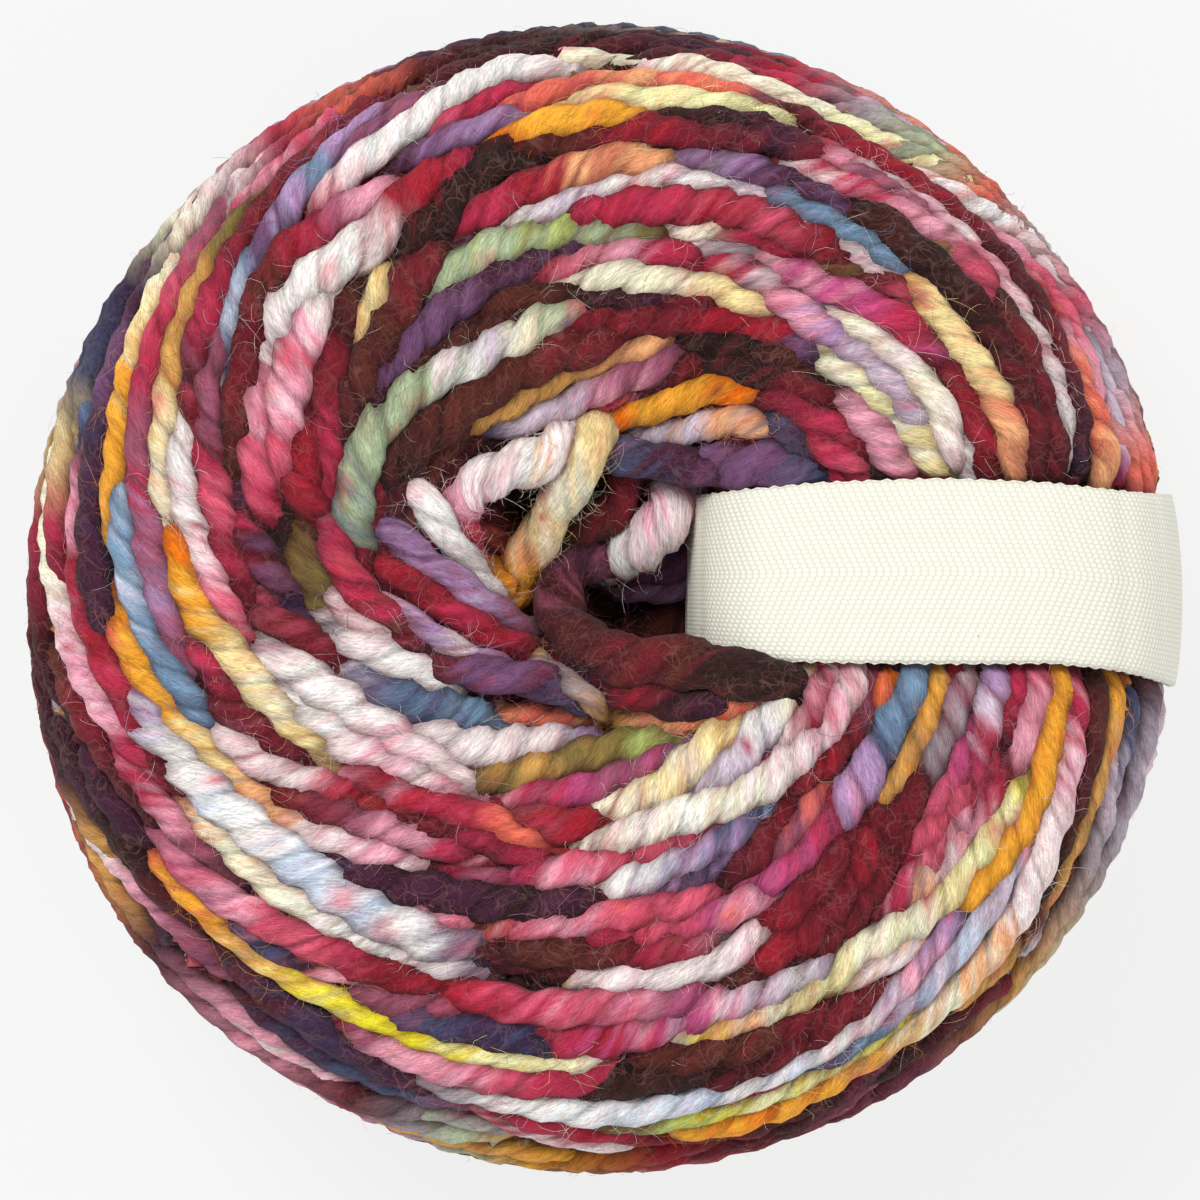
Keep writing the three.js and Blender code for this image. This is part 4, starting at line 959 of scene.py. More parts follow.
    (3.0, "lilac purple lilac lavender raspberry rose*2 raspberry wine*2",
     (44, -7.5, 43.7, -10.5, 43.2, -13.3, 42.4, -16, 41.3, -18.8, 39.8, -21.5, 38, -24, 36, -26.5,
      33.8, -29)),
    (2.6, "maroon magenta*2 rose raspberry wine",
     (41.3, -13, 41, -16, 40, -18.5, 38.6, -21.3, 36.6, -24.3, 34.5, -27)),
    (2.8, "mauve palePink mauve grey maroon wine*3 maroon",
     (41, -7.5, 40.2, -10, 39.3, -12.5, 38.3, -15, 36.8, -17.8, 35.5, -20.5, 33.5, -24, 31.5, -27.5,
      29, -31)),
    (2.9, "tan*2 orange tan*3 brown",
     (38.1, -7.5, 37.3, -10.5, 36.4, -13.5, 35.2, -16.3, 33.9, -19, 32.4, -21.7, 30.8, -24.2)),
    (3.4, "grey blue*3 slate lilac*2 pink raspberry wine",
     (35.6, -7.5, 34.4, -9.8, 33, -12.3, 31.6, -14.8, 30.3, -17.3, 29.1, -19.8, 27.7, -22.3, 26, -24.8,
      24, -27)),
    (2.4, "orange deepOrange coral raspberry", (32.8, -7.5, 32, -9.5, 31, -12, 30, -14)),
    (2.8, "wine*2 mauve maroon crimson wine maroon wine",
     (30.4, -7.5, 30.2, -10, 29.2, -12.8, 27.5, -15.3, 25.3, -17.5, 22.8, -19.3, 20, -20.8, 17, -22)),
    (3.6, "raspberry rose palePink pink palePink*2 cream*2 white palePink cream*3",
     (28.2, -7.5, 27.6, -10.3, 26, -12.9, 24.2, -15, 22.3, -17, 20.2, -18.9, 17.8, -20.5, 15, -21.9, 12, -23,
      9, -24, 6, -25, 3, -26, 0, -26.7, -3, -27.4)),
    (3.0, "palePink pink crimson palePink*2", (25.7, -7.3, 24.6, -10, 23.8, -12.7, 21.6, -15, 19.8, -17)),
    (3.4, "tan*2 cream white lavender*3 grey",
     (23, -7.5, 21.3, -9.5, 19.5, -11.8, 17.8, -14, 16.2, -16.3, 14.4, -18.6, 12.3, -20.6, 9.8, -22.4)),
    (3.2, "wine rose raspberry coral*2 peach*2 tan wine coral peach coral*2",
     (21.2, -7.2, 18.7, -9.2, 16.2, -11, 13.2, -12.2, 10, -12.8, 6.8, -13, 3.6, -12.7, 0.5, -12.2,
      -2.5, -12.8, -5.5, -12.8, -8.5, -12.3, -11.5, -11.3)),
    (3.6, "tan orange tan butter cream butter cream*2 coral crimson",
     (18.2, -11.8, 15.8, -13.2, 13.4, -15, 11.2, -17, 9, -19, 6.6, -20.7, 4, -21.9, 1, -22.8, -2, -23.3)),
    (3.2, "grey lilac magenta mauve magenta raspberry pink maroon",
     (10, -15.4, 7.3, -17, 4.6, -18.5, 1.8, -19.7, -1, -20.7, -4, -21.3, -7, -21.6, -10, -21.3)),
    (3.5, "slate olive green olive*2 tan olive brown darkBrown",
     (9, -15, 6, -15.4, 3.2, -16, 0.3, -16.6, -2.8, -17.3, -5.8, -18, -8.8, -18.7, -12, -19.3, -15, -19.2)),
    (3.8, "purple lilac*2 palePink white palePink*2 slate",
     (-1, -14.8, -4, -15.5, -7, -15.9, -10, -16.2, -13.2, -16.3, -16.3, -15.8, -19.2, -14.7, -21.8, -13.3)),
    (3.8, "maroon blue*2 slate*2 lavender plum",
     (-11.5, -13, -14, -12.3, -16.8, -12, -19.8, -11.6, -22.6, -10.9, -25, -9.6, -27, -8)),
    (3.4, "white*4 palePink grey mauve",
     (-15, -10.8, -17.5, -9.2, -20, -7.8, -22.7, -6.6, -25.4, -5.4, -28, -4, -30, -2)),
    (2.6, "mauve palePink*2 raspberry mauve", (-21.5, -4.7, -24, -3.8, -26.5, -2.5, -28.8, -0.5, -30.3, 2)),
    (3.6, "mauve palePink white*3 palePink pink palePink*2 pink rose",
     (-37.5, -4.5, -35.3, -6.6, -32.8, -8.6, -30.2, -10.4, -27.4, -12, -24.6, -13.7, -22, -15.5,
      -19.2, -17.3, -16.5, -19.2, -14, -21.4)),
    (3.6, "cream palePink white*2 palePink pink palePink pink*2 raspberry",
     (-36, -8.5, -33.8, -11, -31.5, -13.3, -28.8, -15.3, -26, -16.9, -23, -18.2, -20, -19.5, -17, -20.8,
      -13.8, -22.3)),
    (3.3, "rose pink palePink*3 rose crimson*2 raspberry crimson",
     (-43, -13, -41, -15.3, -38.5, -17.2, -35.8, -18.6, -33, -19.8, -30, -20.8, -27, -21.7, -24, -22.5,
      -20.5, -23.2)),
    (3.0, "wine pink crimson*2 raspberry coral*2 raspberry wine",
     (-29, -18.2, -26, -19.6, -22.8, -21, -19.5, -22.3, -16, -23.3, -12.8, -24.4, -10, -25.8, -7, -27,
      -4, -27.9)),
    (3.2, "mauve maroon wine*2 plum maroon",
     (-43.5, -9.5, -41.3, -11.8, -38.5, -14, -35.5, -16, -32.5, -17.6, -29.8, -18.8)),
    (2.6, "grey mauve raspberry wine maroon", (-46.3, -2.5, -44.8, -5, -43, -7.5, -41, -10, -38.8, -12.2)),
    (3.0, "maroon wine*2 mauve pink raspberry wine*2",
     (-37, -21, -33.5, -22, -30, -23, -26.5, -24.2, -23, -25.3, -19.5, -26.5, -16, -27.6, -12, -28.3)),
    (2.8, "maroon brown wine maroon raspberry*2 wine",
     (-25, -22.6, -21.5, -24.2, -18, -25.4, -14.5, -26.3, -11, -27, -7.5, -28.3, -4, -29)),
    (3.0, "brown rose crimson*2 wine", (-10.5, -23.5, -7.5, -24.3, -4.5, -24.8, -1.5, -24.7, 1.5, -24)),
    (3.0, "maroon crimson raspberry*2 rose raspberry rose pink raspberry magenta wine",
     (17, -22, 13.8, -23.5, 10.5, -25, 7.3, -26.6, 4, -27.9, 0.5, -28.9, -3, -29.8, -6.5, -30.3,
      -10, -30.8)),
    (3.0, "indigo slate blue slate lilac lavender white cream*2 butter",
     (19.8, -21.5, 17.8, -23.5, 15.5, -25.3, 13.2, -27, 10.8, -28.4, 8, -29.5, 5, -30.4, 2, -31.5,
      -1.2, -32.3)),
    (2.8, "slate blue indigo*2 lilac purple maroon",
     (17, -25.7, 14.8, -27.6, 12.5, -29.3, 9.8, -30.8, 6.8, -31.9, 3.5, -32.8)),
    (3.0, "maroon crimson rose*3 pink rose coral*2",
     (14, -31.8, 10.8, -33.2, 7.3, -34.2, 3.5, -34.9, -0.5, -35.5, -4.5, -35.8, -8.5, -35.8, -12, -36.2)),
    (3.2, "magenta lilac pink magenta rose raspberry*2 rose raspberry",
     (20, -31, 17.5, -32.8, 14.5, -34.3, 11.3, -35.6, 8, -36.6, 4.5, -37.4, 1, -37.6, -3, -37.4, -7, -37.2)),
    (2.8, "mauve grey raspberry wine brown*2 plum",
     (14, -37, 10, -38.3, 6, -39, 2, -39, -2, -38.9, -6, -39, -10, -39.3)),
    (3.2, "mauve pink palePink*2 white palePink*2 tan grey",
     (19.8, -34.8, 18, -37, 15.5, -38.8, 12.5, -40.1, 9, -41, 5, -41.6, 1, -41.9, -3, -41.9)),
    (3.4, "maroon wine crimson wine*2 crimson wine brown",
     (31.5, -24, 30, -27.5, 28, -31, 25.5, -34.3, 22.5, -37.3, 19, -39.6, 15, -41)),
    (3.4, "maroon wine*2 crimson maroon", (29, -25.5, 26.8, -29, 24.3, -32, 21.5, -34.5, 18.5, -37)),
    (3.2, "maroon*2 wine*3 maroon brown darkBrown maroon",
     (33.5, -22, 32.8, -26, 31, -30, 28.6, -33.7, 25.8, -36.8, 22.5, -39.3, 19, -41.2, 15, -42.2,
      11, -42.9)),
    (2.8, "raspberry*3 magenta*2 mauve",
     (26.8, -21.5, 25.5, -24.5, 23.5, -27, 21, -29.5, 18, -31.3, 15, -32.5)),
    (2.4, "coral*2 mauve wine maroon", (24.3, -20.5, 23, -23.5, 21.3, -26, 19.3, -28.3, 16.8, -30)),
    (3.0, "wine*3 maroon wine", (21.5, -21.5, 20, -24.5, 18, -27.3, 15.5, -29.5, 12.5, -31.3)),
    (3.2, "wine grey lavender white lavender pink magenta raspberry crimson raspberry*2 wine plum",
     (27, -39, 23.8, -41, 20.3, -42.6, 16.8, -43.9, 13.3, -45.1, 9.8, -46.2, 6.2, -47.3, 2.5, -48.3,
      -1.5, -49, -5.5, -48.7, -9.5, -47.7)),
    (3.4, "magenta*2 mauve pink rose*2 raspberry crimson*2 wine",
     (12.5, -43.8, 9, -44.8, 5.5, -45.2, 2, -45, -1.5, -45.2, -5.5, -45.4, -9.5, -44.9, -13.5, -44,
      -17.5, -43)),
    (3.3, "slate plum*4 darkBrown plum brown maroon",
     (-31, -28.5, -27.5, -30.2, -23.5, -31.5, -19.5, -32.3, -15.5, -33, -11.5, -33.5, -7.5, -33.9, -3, -34,
      1.5, -33.6)),
    (2.2, "rose raspberry mauve raspberry maroon",
     (-19, -30.2, -15.5, -30.3, -12, -30.9, -8, -31.7, -4.5, -32)),
    (3.0, "plum pink*2 rose coral", (-25.5, -32.2, -22.5, -33.6, -19.3, -34.6, -16, -35.6, -12.8, -36.5)),
    (2.9, "mauve purple slate indigo*2 slate mauve",
     (-25, -45.2, -21.5, -46.2, -17.8, -46.9, -14, -47.7, -10, -48.5, -6, -49.3, -2, -50)),
    (2.6, "brown mauve*2 rose maroon", (-28.5, -43.3, -24.8, -44.4, -21, -45, -17, -45.4, -13, -46)),
    (3.2, "wine*2 brown*3 mauve", (24, -46.5, 20, -48.3, 16, -49.6, 12, -50.3, 8, -50.9, 4, -51.7)),
    (3.2, "wine*3 maroon darkBrown*2 brown darkBrown",
     (28, -45, 24, -47.6, 19.5, -50, 15, -51.6, 10.5, -52.6, 6, -53.2, 1.5, -53.8, -3, -54.7)),
    (2.8, "maroon wine*3 maroon wine brown",
     (33, -41.5, 30, -44, 26.5, -46.6, 22.5, -49, 18, -51.3, 13.5, -53, 9, -54)),
    (2.0, "lilac mauve raspberry wine brown", (24, -52.3, 20.5, -54, 17, -55.2, 13, -56.2, 9, -57)),
]

# Little spots of another dye: X, Y, radius and dye
spots = [
    (7.3, 46.3, 0.9, "crimson"), (19.7, -44.7, 0.8, "crimson"), (-44.6, 8.3, 1.2, "crimson"),
    (24.3, -13, 1.4, "crimson"), (39, 41, 1.0, "brown"), (41.3, 38.3, 0.8, "brown"),
    (34.3, 21.8, 0.9, "raspberry"), (-18, 44.6, 1.2, "crimson"), (-1, 22, 0.9, "raspberry"),
    (-21.5, 43, 1.2, "crimson"),
]
spotForm = {"strength": 0.85, "core": 0.35, "heightShare": 0.4}

topWinding = {
    "step": 1.12, "sides": 12, "sink": 0.85, "sinkSpread": 0.3, "swell": 1.52, "fuzz": 1.0,
    "tail": 6.0, "slide": 1.1, "dive": 3.6, "rise": 12.0, "press": 1.3,
    "rimSink": 1.3, "rimFrom": 55.0, "rimTo": 63.0, "wander": 0.3, "wanderWave": 16.0,
}


def paintSpots(points, colours):
    for x, y, radius, word in spots:
        turn, theta = onSurface(np.array([[x, y]], float))
        away = (points - bodyPoint(turn, theta)) * (1, 1, spotForm["heightShare"])
        near = 1 - eased(spotForm["core"] * radius, radius, np.linalg.norm(away, axis=1))
        share = spotForm["strength"] * near[:, None]
        colours[:] = colours * (1 - share) + dye[word] * share


def layOnTop(points, sink):
    # a seen route becomes a centre line on the cake, which goes under its outer neighbour at its outer end
    # and under its inner one at the other
    route = np.array(points, float).reshape(-1, 2)
    first, last = unit(route[0] - route[1]), unit(route[-1] - route[-2])
    away = np.linalg.norm(route, axis=1)
    slide = topWinding["slide"] * (1 if away[0] >= away[-1] else -1)
    before = route[0] + topWinding["tail"] * first + slide * unit(route[0])
    after = route[-1] + topWinding["tail"] * last - slide * unit(route[-1])
    turn, theta = onSurface(smoothRoute(np.vstack([before, route, after]), topWinding["step"]))
    centre, normal = bodyPoint(turn, theta), bodyNormal(turn, theta)
    along = lengthsAlong(centre)
    fromEnd = np.minimum(along, along[-1] - along)
    pressed = underTape(centre)
    rho = np.hypot(centre[:, 0], centre[:, 1])
    outside = topWinding["rimSink"] * eased(topWinding["rimFrom"], topWinding["rimTo"], rho)
    height = -sink - outside - topWinding["dive"] * (1 - eased(0, topWinding["rise"], fromEnd))
    height = height - topWinding["press"] * pressed
    wander = topWinding["wander"] * noiseAt(along, 1, topWinding["wanderWave"])[:, 0]
    height = height + wander * (1 - pressed)
    return centre + normal * height[:, None], normal


def makeTop():
    stock = newStock()
    for width, words, points in topStrands:
        scale = width * topWinding["swell"] / (2 * plies["radius"])
        spread = topWinding["sinkSpread"]
        centre, normal = layOnTop(points, topWinding["sink"] + random.uniform(-spread, spread))
        addStrand(stock, centre, normal, dyeStops(words), topWinding["sides"], scale, topWinding["fuzz"])
    for points, colours in zip(stock["points"], stock["colours"]):
        paintSpots(points, colours)
    return stock


# The darker layer that shows between the strands of the top, in rounds that each move on by one pitch
topBase = {
    "low": 22.0, "high": 97.0, "pitch": 3.6, "round": 363.0, "turnOn": 47.0, "step": 3.4, "sink": 2.3,
    "rimSink": 1.56, "rimFrom": 52.0, "rimTo": 60.0, "press": 0.8,
    "sides": 7, "scale": 1.05, "fuzz": 0.25, "dyeSpan": (20, 60),
}


def makeTopBase(stock):
    climb = topBase["low"]
    start = 0.0
    while climb < topBase["high"]:
        theta = np.radians(np.arange(start, start + topBase["round"], topBase["step"]))
        turn = turnOfClimb(climb + topBase["pitch"] * np.linspace(0, 1, len(theta)))
        centre, normal = bodyPoint(turn, theta), bodyNormal(turn, theta)
        rho = np.hypot(centre[:, 0], centre[:, 1])
        outside = topBase["rimSink"] * eased(topBase["rimFrom"], topBase["rimTo"], rho)
        height = -topBase["sink"] - outside - topBase["press"] * underTape(centre)
        centre = centre + normal * height[:, None]
        stops = randomDyes(centre, darkDyes, *topBase["dyeSpan"])
        addStrand(stock, centre, normal, stops, topBase["sides"], topBase["scale"], topBase["fuzz"])
        climb += topBase["pitch"]
        start += topBase["turnOn"]


baseStock = newStock()
makeTopBase(baseStock)
topStock = makeTop()
shadeContacts(topStock, baseStock["lines"])
buildTop = buildPiece("topWinding", topStock, woolTop)
print("top laid")

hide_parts("yarn_cake")

# The dyes of the rim, seen from above: angle and dye
rimDyes = [
    (5, "mauve"), (14, "coral"), (24, "lavender"), (32, "rose"), (40, "palePink"), (46, "coral"),
    (54, "sage"), (62, "grey"), (70, "raspberry"), (80, "maroon"), (95, "darkBrown"), (108, "maroon"),
    (117, "coral"), (125, "raspberry"), (132, "palePink"), (139, "cream"), (146, "indigo"),
    (156, "slate"), (164, "butter"), (172, "raspberry"), (184, "maroon"), (198, "plum"), (208, "tan"),
    (218, "plum"), (232, "pink"), (243, "wine"), (250, "grey"), (256, "sage"), (263, "orange"),
    (276, "crimson"), (290, "maroon"), (304, "mauve"), (317, "tan"), (332, "grey"), (345, "lavender"),
    (352, "maroon"),
]
rim = {"paintFrom": 50.0, "paintTo": 64.0, "usualLight": 0.16, "darkest": 0.75, "lightest": 1.2}
rimAngles = np.array([angle for angle, _ in rimDyes], float)
rimColours = np.array([dye[word] for _, word in rimDyes])


def rimColour(theta):
    angle = np.degrees(theta) % 360
    return np.stack([np.interp(angle, rimAngles, rimColours[:, i], period=360) for i in range(3)], axis=-1)


def paintRim(points, colours):
    # the rim's dye keeps the brightness of the colour it replaces, painted flank shade included
    share = eased(rim["paintFrom"], rim["paintTo"], points[:, 2])[:, None]
    light = np.clip(colours.mean(1, keepdims=True) / rim["usualLight"], rim["darkest"], rim["lightest"])
    return colours * (1 - share) + rimColour(np.arctan2(points[:, 1], points[:, 0])) * light * share


# The wall: outer turns that climb one way over deeper turns that climb the other way
sideWinding = {
    "strands": 29, "startSpread": 1.2, "slope": 18.0, "slopeSpread": 0.8, "low": -56.0, "high": 33.0,
    "highSpread": 3.0, "sink": 1.7, "sinkSpread": 0.3, "step": 1.6, "swing": 3.0,
    "sides": 12, "scale": (0.98, 1.12), "fuzz": 0.5, "floor": 0.05,
}
sideBase = {
    "strands": 27, "startSpread": 1.5, "slope": -17.0, "low": -56.0, "high": 37.0,
    "sink": 3.2, "step": 3.4, "swing": 2.0, "sides": 7, "scale": 1.1, "fuzz": 0.1, "floor": 0.3,
}
sideForm = {
    "swingWave": 60.0, "dive": 2.6, "rise": 14.0, "press": 1.3, "wander": 0.3, "wanderWave": 24.0,
    "nudge": 0.01, "dyeSpan": (22, 60),
}


def layOnSide(form, start, slope, high, sink):
    radius = body["radius"]
    rise = abs(math.sin(math.radians(slope)))
    climbs = np.arange(form["low"], high + sideForm["nudge"], form["step"] * rise)
    theta = math.radians(start) + (climbs - form["low"]) / math.tan(math.radians(slope)) / radius
    along = (climbs - form["low"]) / rise
    nudged = along + sideForm["nudge"]
    theta = theta + form["swing"] * noiseAt(nudged, 1, sideForm["swingWave"])[:, 0] / radius
    turn = turnOfClimb(climbs)
    centre, normal = bodyPoint(turn, theta), bodyNormal(turn, theta)
    fromEnd = np.minimum(along, along[-1] - along)
    height = -sink - sideForm["dive"] * (1 - eased(0, sideForm["rise"], fromEnd))
    height = height - sideForm["press"] * underTape(centre)
    height = height + sideForm["wander"] * noiseAt(nudged, 1, sideForm["wanderWave"])[:, 0]
    return centre + normal * height[:, None], normal


def makeSides():
    def spread(name):
        return random.uniform(-sideWinding[name], sideWinding[name])

    stock = newStock()
    for i in range(sideWinding["strands"]):
        start = i * 360 / sideWinding["strands"] + spread("startSpread")
        slope = sideWinding["slope"] + spread("slopeSpread")
        high = sideWinding["high"] + spread("highSpread")
        sink = sideWinding["sink"] + spread("sinkSpread")
        centre, normal = layOnSide(sideWinding, start, slope, high, sink)
        stops = randomDyes(centre, variedDyes, *sideForm["dyeSpan"])
        addStrand(stock, centre, normal, stops, sideWinding["sides"], random.uniform(*sideWinding["scale"]),
                  sideWinding["fuzz"], floor=sideWinding["floor"])
        stock["colours"][-1] = paintRim(stock["points"][-1], stock["colours"][-1])
    return stock


def makeSideBase(stock):
    for i in range(sideBase["strands"]):
        spread = random.uniform(-sideBase["startSpread"], sideBase["startSpread"])
        start = i * 360 / sideBase["strands"] + spread
        centre, normal = layOnSide(sideBase, start, sideBase["slope"], sideBase["high"], sideBase["sink"])
        stops = randomDyes(centre, variedDyes, *sideForm["dyeSpan"])
        addStrand(stock, centre[::-1], normal[::-1], stops, sideBase["sides"], sideBase["scale"],
                  sideBase["fuzz"], floor=sideBase["floor"])


# Rounds that each move on by one pitch, down the hole and under the cake
holeRings = {
    "low": 92.0, "high": 142.0, "pitch": 4.8, "sink": 1.6, "sides": 7, "step": 8.0,
    "dyes": darkDyes, "floor": None,
}
underRings = {
    "low": wholeClimb - 125, "high": wholeClimb - 60, "pitch": 4.4, "sink": 1.2, "sides": 10, "step": 3.2,
    "dyes": variedDyes, "floor": 0.02,
}
ringForm = {"round": 361, "turnOn": 31, "press": 1.1, "scale": 1.05, "fuzz": 0.12, "dyeSpan": (22, 60)}


def makeRings(stock, form):
    climb = form["low"]
    while climb < form["high"]:
        theta = np.radians(np.arange(0, ringForm["round"], form["step"]) + climb * ringForm["turnOn"])
        turn = turnOfClimb(climb + form["pitch"] * np.linspace(0, 1, len(theta)))
        centre, normal = bodyPoint(turn, theta), bodyNormal(turn, theta)
        centre = centre + normal * (-form["sink"] - ringForm["press"] * underTape(centre))[:, None]
        stops = randomDyes(centre, form["dyes"], *ringForm["dyeSpan"])
        addStrand(stock, centre, normal, stops, form["sides"], ringForm["scale"], ringForm["fuzz"],
                  floor=form["floor"])
        climb += form["pitch"]


sideStock = makeSides()
makeSideBase(baseStock)
makeRings(baseStock, holeRings)
makeRings(baseStock, underRings)
shadeContacts(sideStock, topStock["lines"] + baseStock["lines"])
shadeContacts(baseStock, [])
buildPiece("sideWinding", sideStock, woolTop)
buildPiece("underWinding", baseStock, woolTop)
print("sides laid")

# The wool deep in the cake, which closes the gaps between the strands: maroon, darkened as painted shade
core = {"rows": 64, "columns": 72, "sink": 4.6, "dye": "maroon", "light": 0.6}


def makeCore():
    rows, columns = core["rows"], core["columns"]
    turns, thetas = np.arange(rows) / rows * 2 * np.pi, np.arange(columns) / columns * 2 * np.pi
    turn, theta = np.meshgrid(turns, thetas, indexing="ij")
    points = bodyPoint(turn, theta) - core["sink"] * bodyNormal(turn, theta)
    # painted shade: the maroon is darkened by the light factor
    colours = np.repeat(dye[core["dye"]][None] * core["light"], rows * columns, axis=0)
    stock = newStock()
    addMesh(stock, points, colours, gridQuads(rows, columns, True))
    return stock


buildPiece("woolCore", makeCore(), woolFibre)

# The turns at the mouth and the loose ones across it: scale, pitch, dyes, then X and Y as seen, and height
centreTurns = [
    (1.0, 14, "pink palePink white*3 palePink*2",
     [(-22, 16, 73), (-21, 13, 77), (-19, 10.5, 78.3), (-17, 7.5, 77), (-15, 4.5, 74.5), (-12.5, 1, 70),
      (-10.5, -2.5, 63)]),
    (1.42, 8.5, "raspberry rose raspberry pink palePink white*2 palePink tan",
     [(-14.6, 3.4, 68), (-15.5, 8, 74), (-15.2, 11, 76), (-13.3, 13, 77), (-10, 14.5, 77.3), (-6, 15.9, 77),
      (-3, 18, 75.5), (0.5, 20.5, 73.5)]),
    (1.32, 22, "butter*2 cream*2 butter peach orange*2",
     [(0.5, 21, 74.5), (-1, 17, 77), (-3, 13.5, 76), (-5, 10, 72.5), (-7, 6.5, 69), (-8.5, 3.5, 66),
      (-9, 0.5, 63)]),
    (1.1, 9, "orange*2 deepOrange orange",
     [(-8.4, 3.6, 62), (-9.2, 1.2, 65), (-11, 1.2, 67.4), (-12.2, 2.8, 67.2), (-11.3, 4.4, 64),
      (-10, 6, 60)]),
    (1.1, 14, "brown*2 wine brown wine brown wine brown",
     [(5, 19, 66), (3, 13.5, 69), (1.5, 10, 69.5), (-1, 8.2, 68), (-4, 6.5, 65.5), (-6.5, 4, 63.5),
      (-7.5, 1, 62), (-7, -2, 60), (-6, -4.5, 57)]),
    (1.4, 14, "mauve*2 plum maroon brown maroon wine brown darkBrown*3",
     [(4.5, 4.6, 60), (1, 4.8, 64), (-2, 4.5, 66.5), (-4, 2.8, 67.5), (-4.6, 0, 68.5), (-4, -2.5, 70),
      (-2.2, -4.5, 72), (0.5, -6, 74.5), (3.5, -7, 77), (7, -6.8, 79), (12, -7.4, 81), (15, -8.2, 82),
      (18, -8.6, 82), (23, -10.5, 79.5)]),
    (1.45, 8, "mauve grey white*2 palePink pink grey*2",
     [(-2, 4, 58), (0.4, 4.6, 62), (3.3, 5.6, 66.5), (5.8, 6.9, 70), (7.4, 9.3, 71), (8.6, 11.6, 69),
      (8, 14.5, 64)]),
    (1.0, 12, "mauve plum purple mauve",
     [(-3, 5, 52), (0.8, 3.6, 56), (4.9, 3.4, 58), (9.2, 4.4, 58), (13, 6, 56)]),
    (1.05, 12, "plum purple lilac*2 mauve",
     [(-2, 4.5, 48), (2, 2, 53), (4, 1.6, 55), (7, 1.8, 55), (12, 3.2, 52)]),
    (1.2, 12, "brown darkBrown brown*3",
     [(-1, -5.5, 46), (2.8, -4.2, 50), (6.3, -3.2, 51), (9.9, -1.9, 51), (13, 0, 49)]),
    (1.15, 12, "wine coral maroon coral wine",
     [(-14.5, 11, 62), (-12.8, 9, 66), (-11, 7, 66), (-9, 5, 62)]),
    (1.1, 12, "brown*2 darkBrown brown",
     [(-3, 1, 44), (0.5, -0.5, 46), (4, -1.4, 47), (8, -0.5, 47), (12, 1, 45)]),
    (0.95, 13, "plum purple*2 lilac*2 mauve lavender mauve",
     [(-27, 11, 74), (-25, 9, 77), (-22.5, 7.2, 78.8), (-20, 4.5, 78.5), (-17.5, 3, 77.5), (-15, 1.2, 76),
      (-12.5, -0.8, 73.5), (-10, -2.5, 70.5), (-8, -4, 67), (-6, -5.6, 62)]),
    (1.0, 14, "wine crimson*2 raspberry crimson*2 wine maroon",
     [(-26, 6, 76.5), (-22, 2.8, 79), (-19, 0.8, 77.8), (-16, -1.5, 76), (-13, -3.3, 74.5), (-10, -5, 72),
      (-7.5, -6, 69.5), (-4, -7.5, 64)]),
    (0.72, 12, "mauve pink lilac palePink lilac mauve",
     [(-25.5, 1, 76.5), (-23.5, -0.5, 79), (-20, -2.8, 78.8), (-17, -4.8, 77.8), (-14.5, -6.2, 77),
      (-12, -7, 75.8), (-9, -7.8, 73)]),
    (1.0, 12, "maroon wine purple*2 indigo slate plum",
     [(-20, -6, 76), (-17, -7.5, 77.8), (-14, -8, 77.6), (-11.5, -8.3, 77.2), (-9, -8.6, 76.8),
      (-6.5, -9, 76.2), (-4, -9.8, 75.2), (0, -12, 72)]),
    (0.7, 12, "tan grey tan",
     [(-8.4, -5.6, 68), (-5.5, -8, 74), (-3.5, -9.2, 76.3), (-1.5, -10.5, 76.6), (0.5, -13, 74)]),
    (1.1, 13, "wine crimson plum wine darkBrown plum darkBrown",
     [(-5.5, -5.5, 66), (-2.2, -8, 71), (2.6, -9.9, 75.5), (7.3, -10.9, 78), (13.4, -11.6, 79.2),
      (19, -13, 78)]),
    (1.1, 13, "brown maroon brown*2",
     [(-9.5, -1.5, 60), (-7.4, -4.6, 64.5), (-4.4, -7, 68), (-0.5, -8.4, 71), (4, -9, 73), (9, -9.4, 75)]),
    (1.05, 13, "brown mauve slate plum purple plum",
     [(-6, 17.5, 71), (-1, 16.6, 73.5), (4.9, 15.5, 75.5), (9.5, 14.8, 76.5), (13.4, 14.4, 77),
      (19, 14.8, 75)]),
    (1.1, 13, "brown maroon darkBrown",
     [(-4, 14, 62), (1, 14.6, 66), (6, 13.8, 68), (11, 12.6, 68)]),
]
centreForm = {"step": 0.9, "sides": 18, "flatten": 0.92, "fuzz": 1.0}


def makeCentre():
    stock = newStock()
    for scale, pitch, words, points in centreTurns:
        route = np.array(points, float)
        route[:, :2] *= sightScale(route[:, 2:])
        centre = smoothRoute(route, centreForm["step"])
        upward = np.tile([0.0, 0.0, 1.0], (len(centre), 1))
        addStrand(stock, centre, upward, dyeStops(words), centreForm["sides"], scale, centreForm["fuzz"],
                  pitch=pitch, flatten=centreForm["flatten"])
    return stock


centreStock = makeCentre()
shadeContacts(centreStock, topStock["lines"])
buildPiece("centreTurns", centreStock, woolTop)
print("centre laid")

# Stray fibres, each a thin closed tube of three sides: how many, how many rings and how long at most
looseFibres = {
    "long": (8600, 3, 6.0), "short": (8000, 2, 2.2), "centre": (1600, 4, 5.0),
    "sideLong": (2200, 4, 3.2), "sideShort": (2200, 2, 1.8),
    "thin": 0.009, "thick": 0.019, "shortest": 0.35,
    "sideways": 0.75, "lift": (0.15, 1.0), "fall": (0.05, 0.45),
    "curlSpread": 0.5, "curl": 0.9, "root": 0.25, "within": 60.5, "topAbove": 45.0, "sideAbove": 3.0,
    "centreTo": 12.0, "besideTape": 0.4,
    "pale": (0.2, 0.08, 0.07), "paleShare": (0.05, 0.4), "darkBelow": 0.4,
}


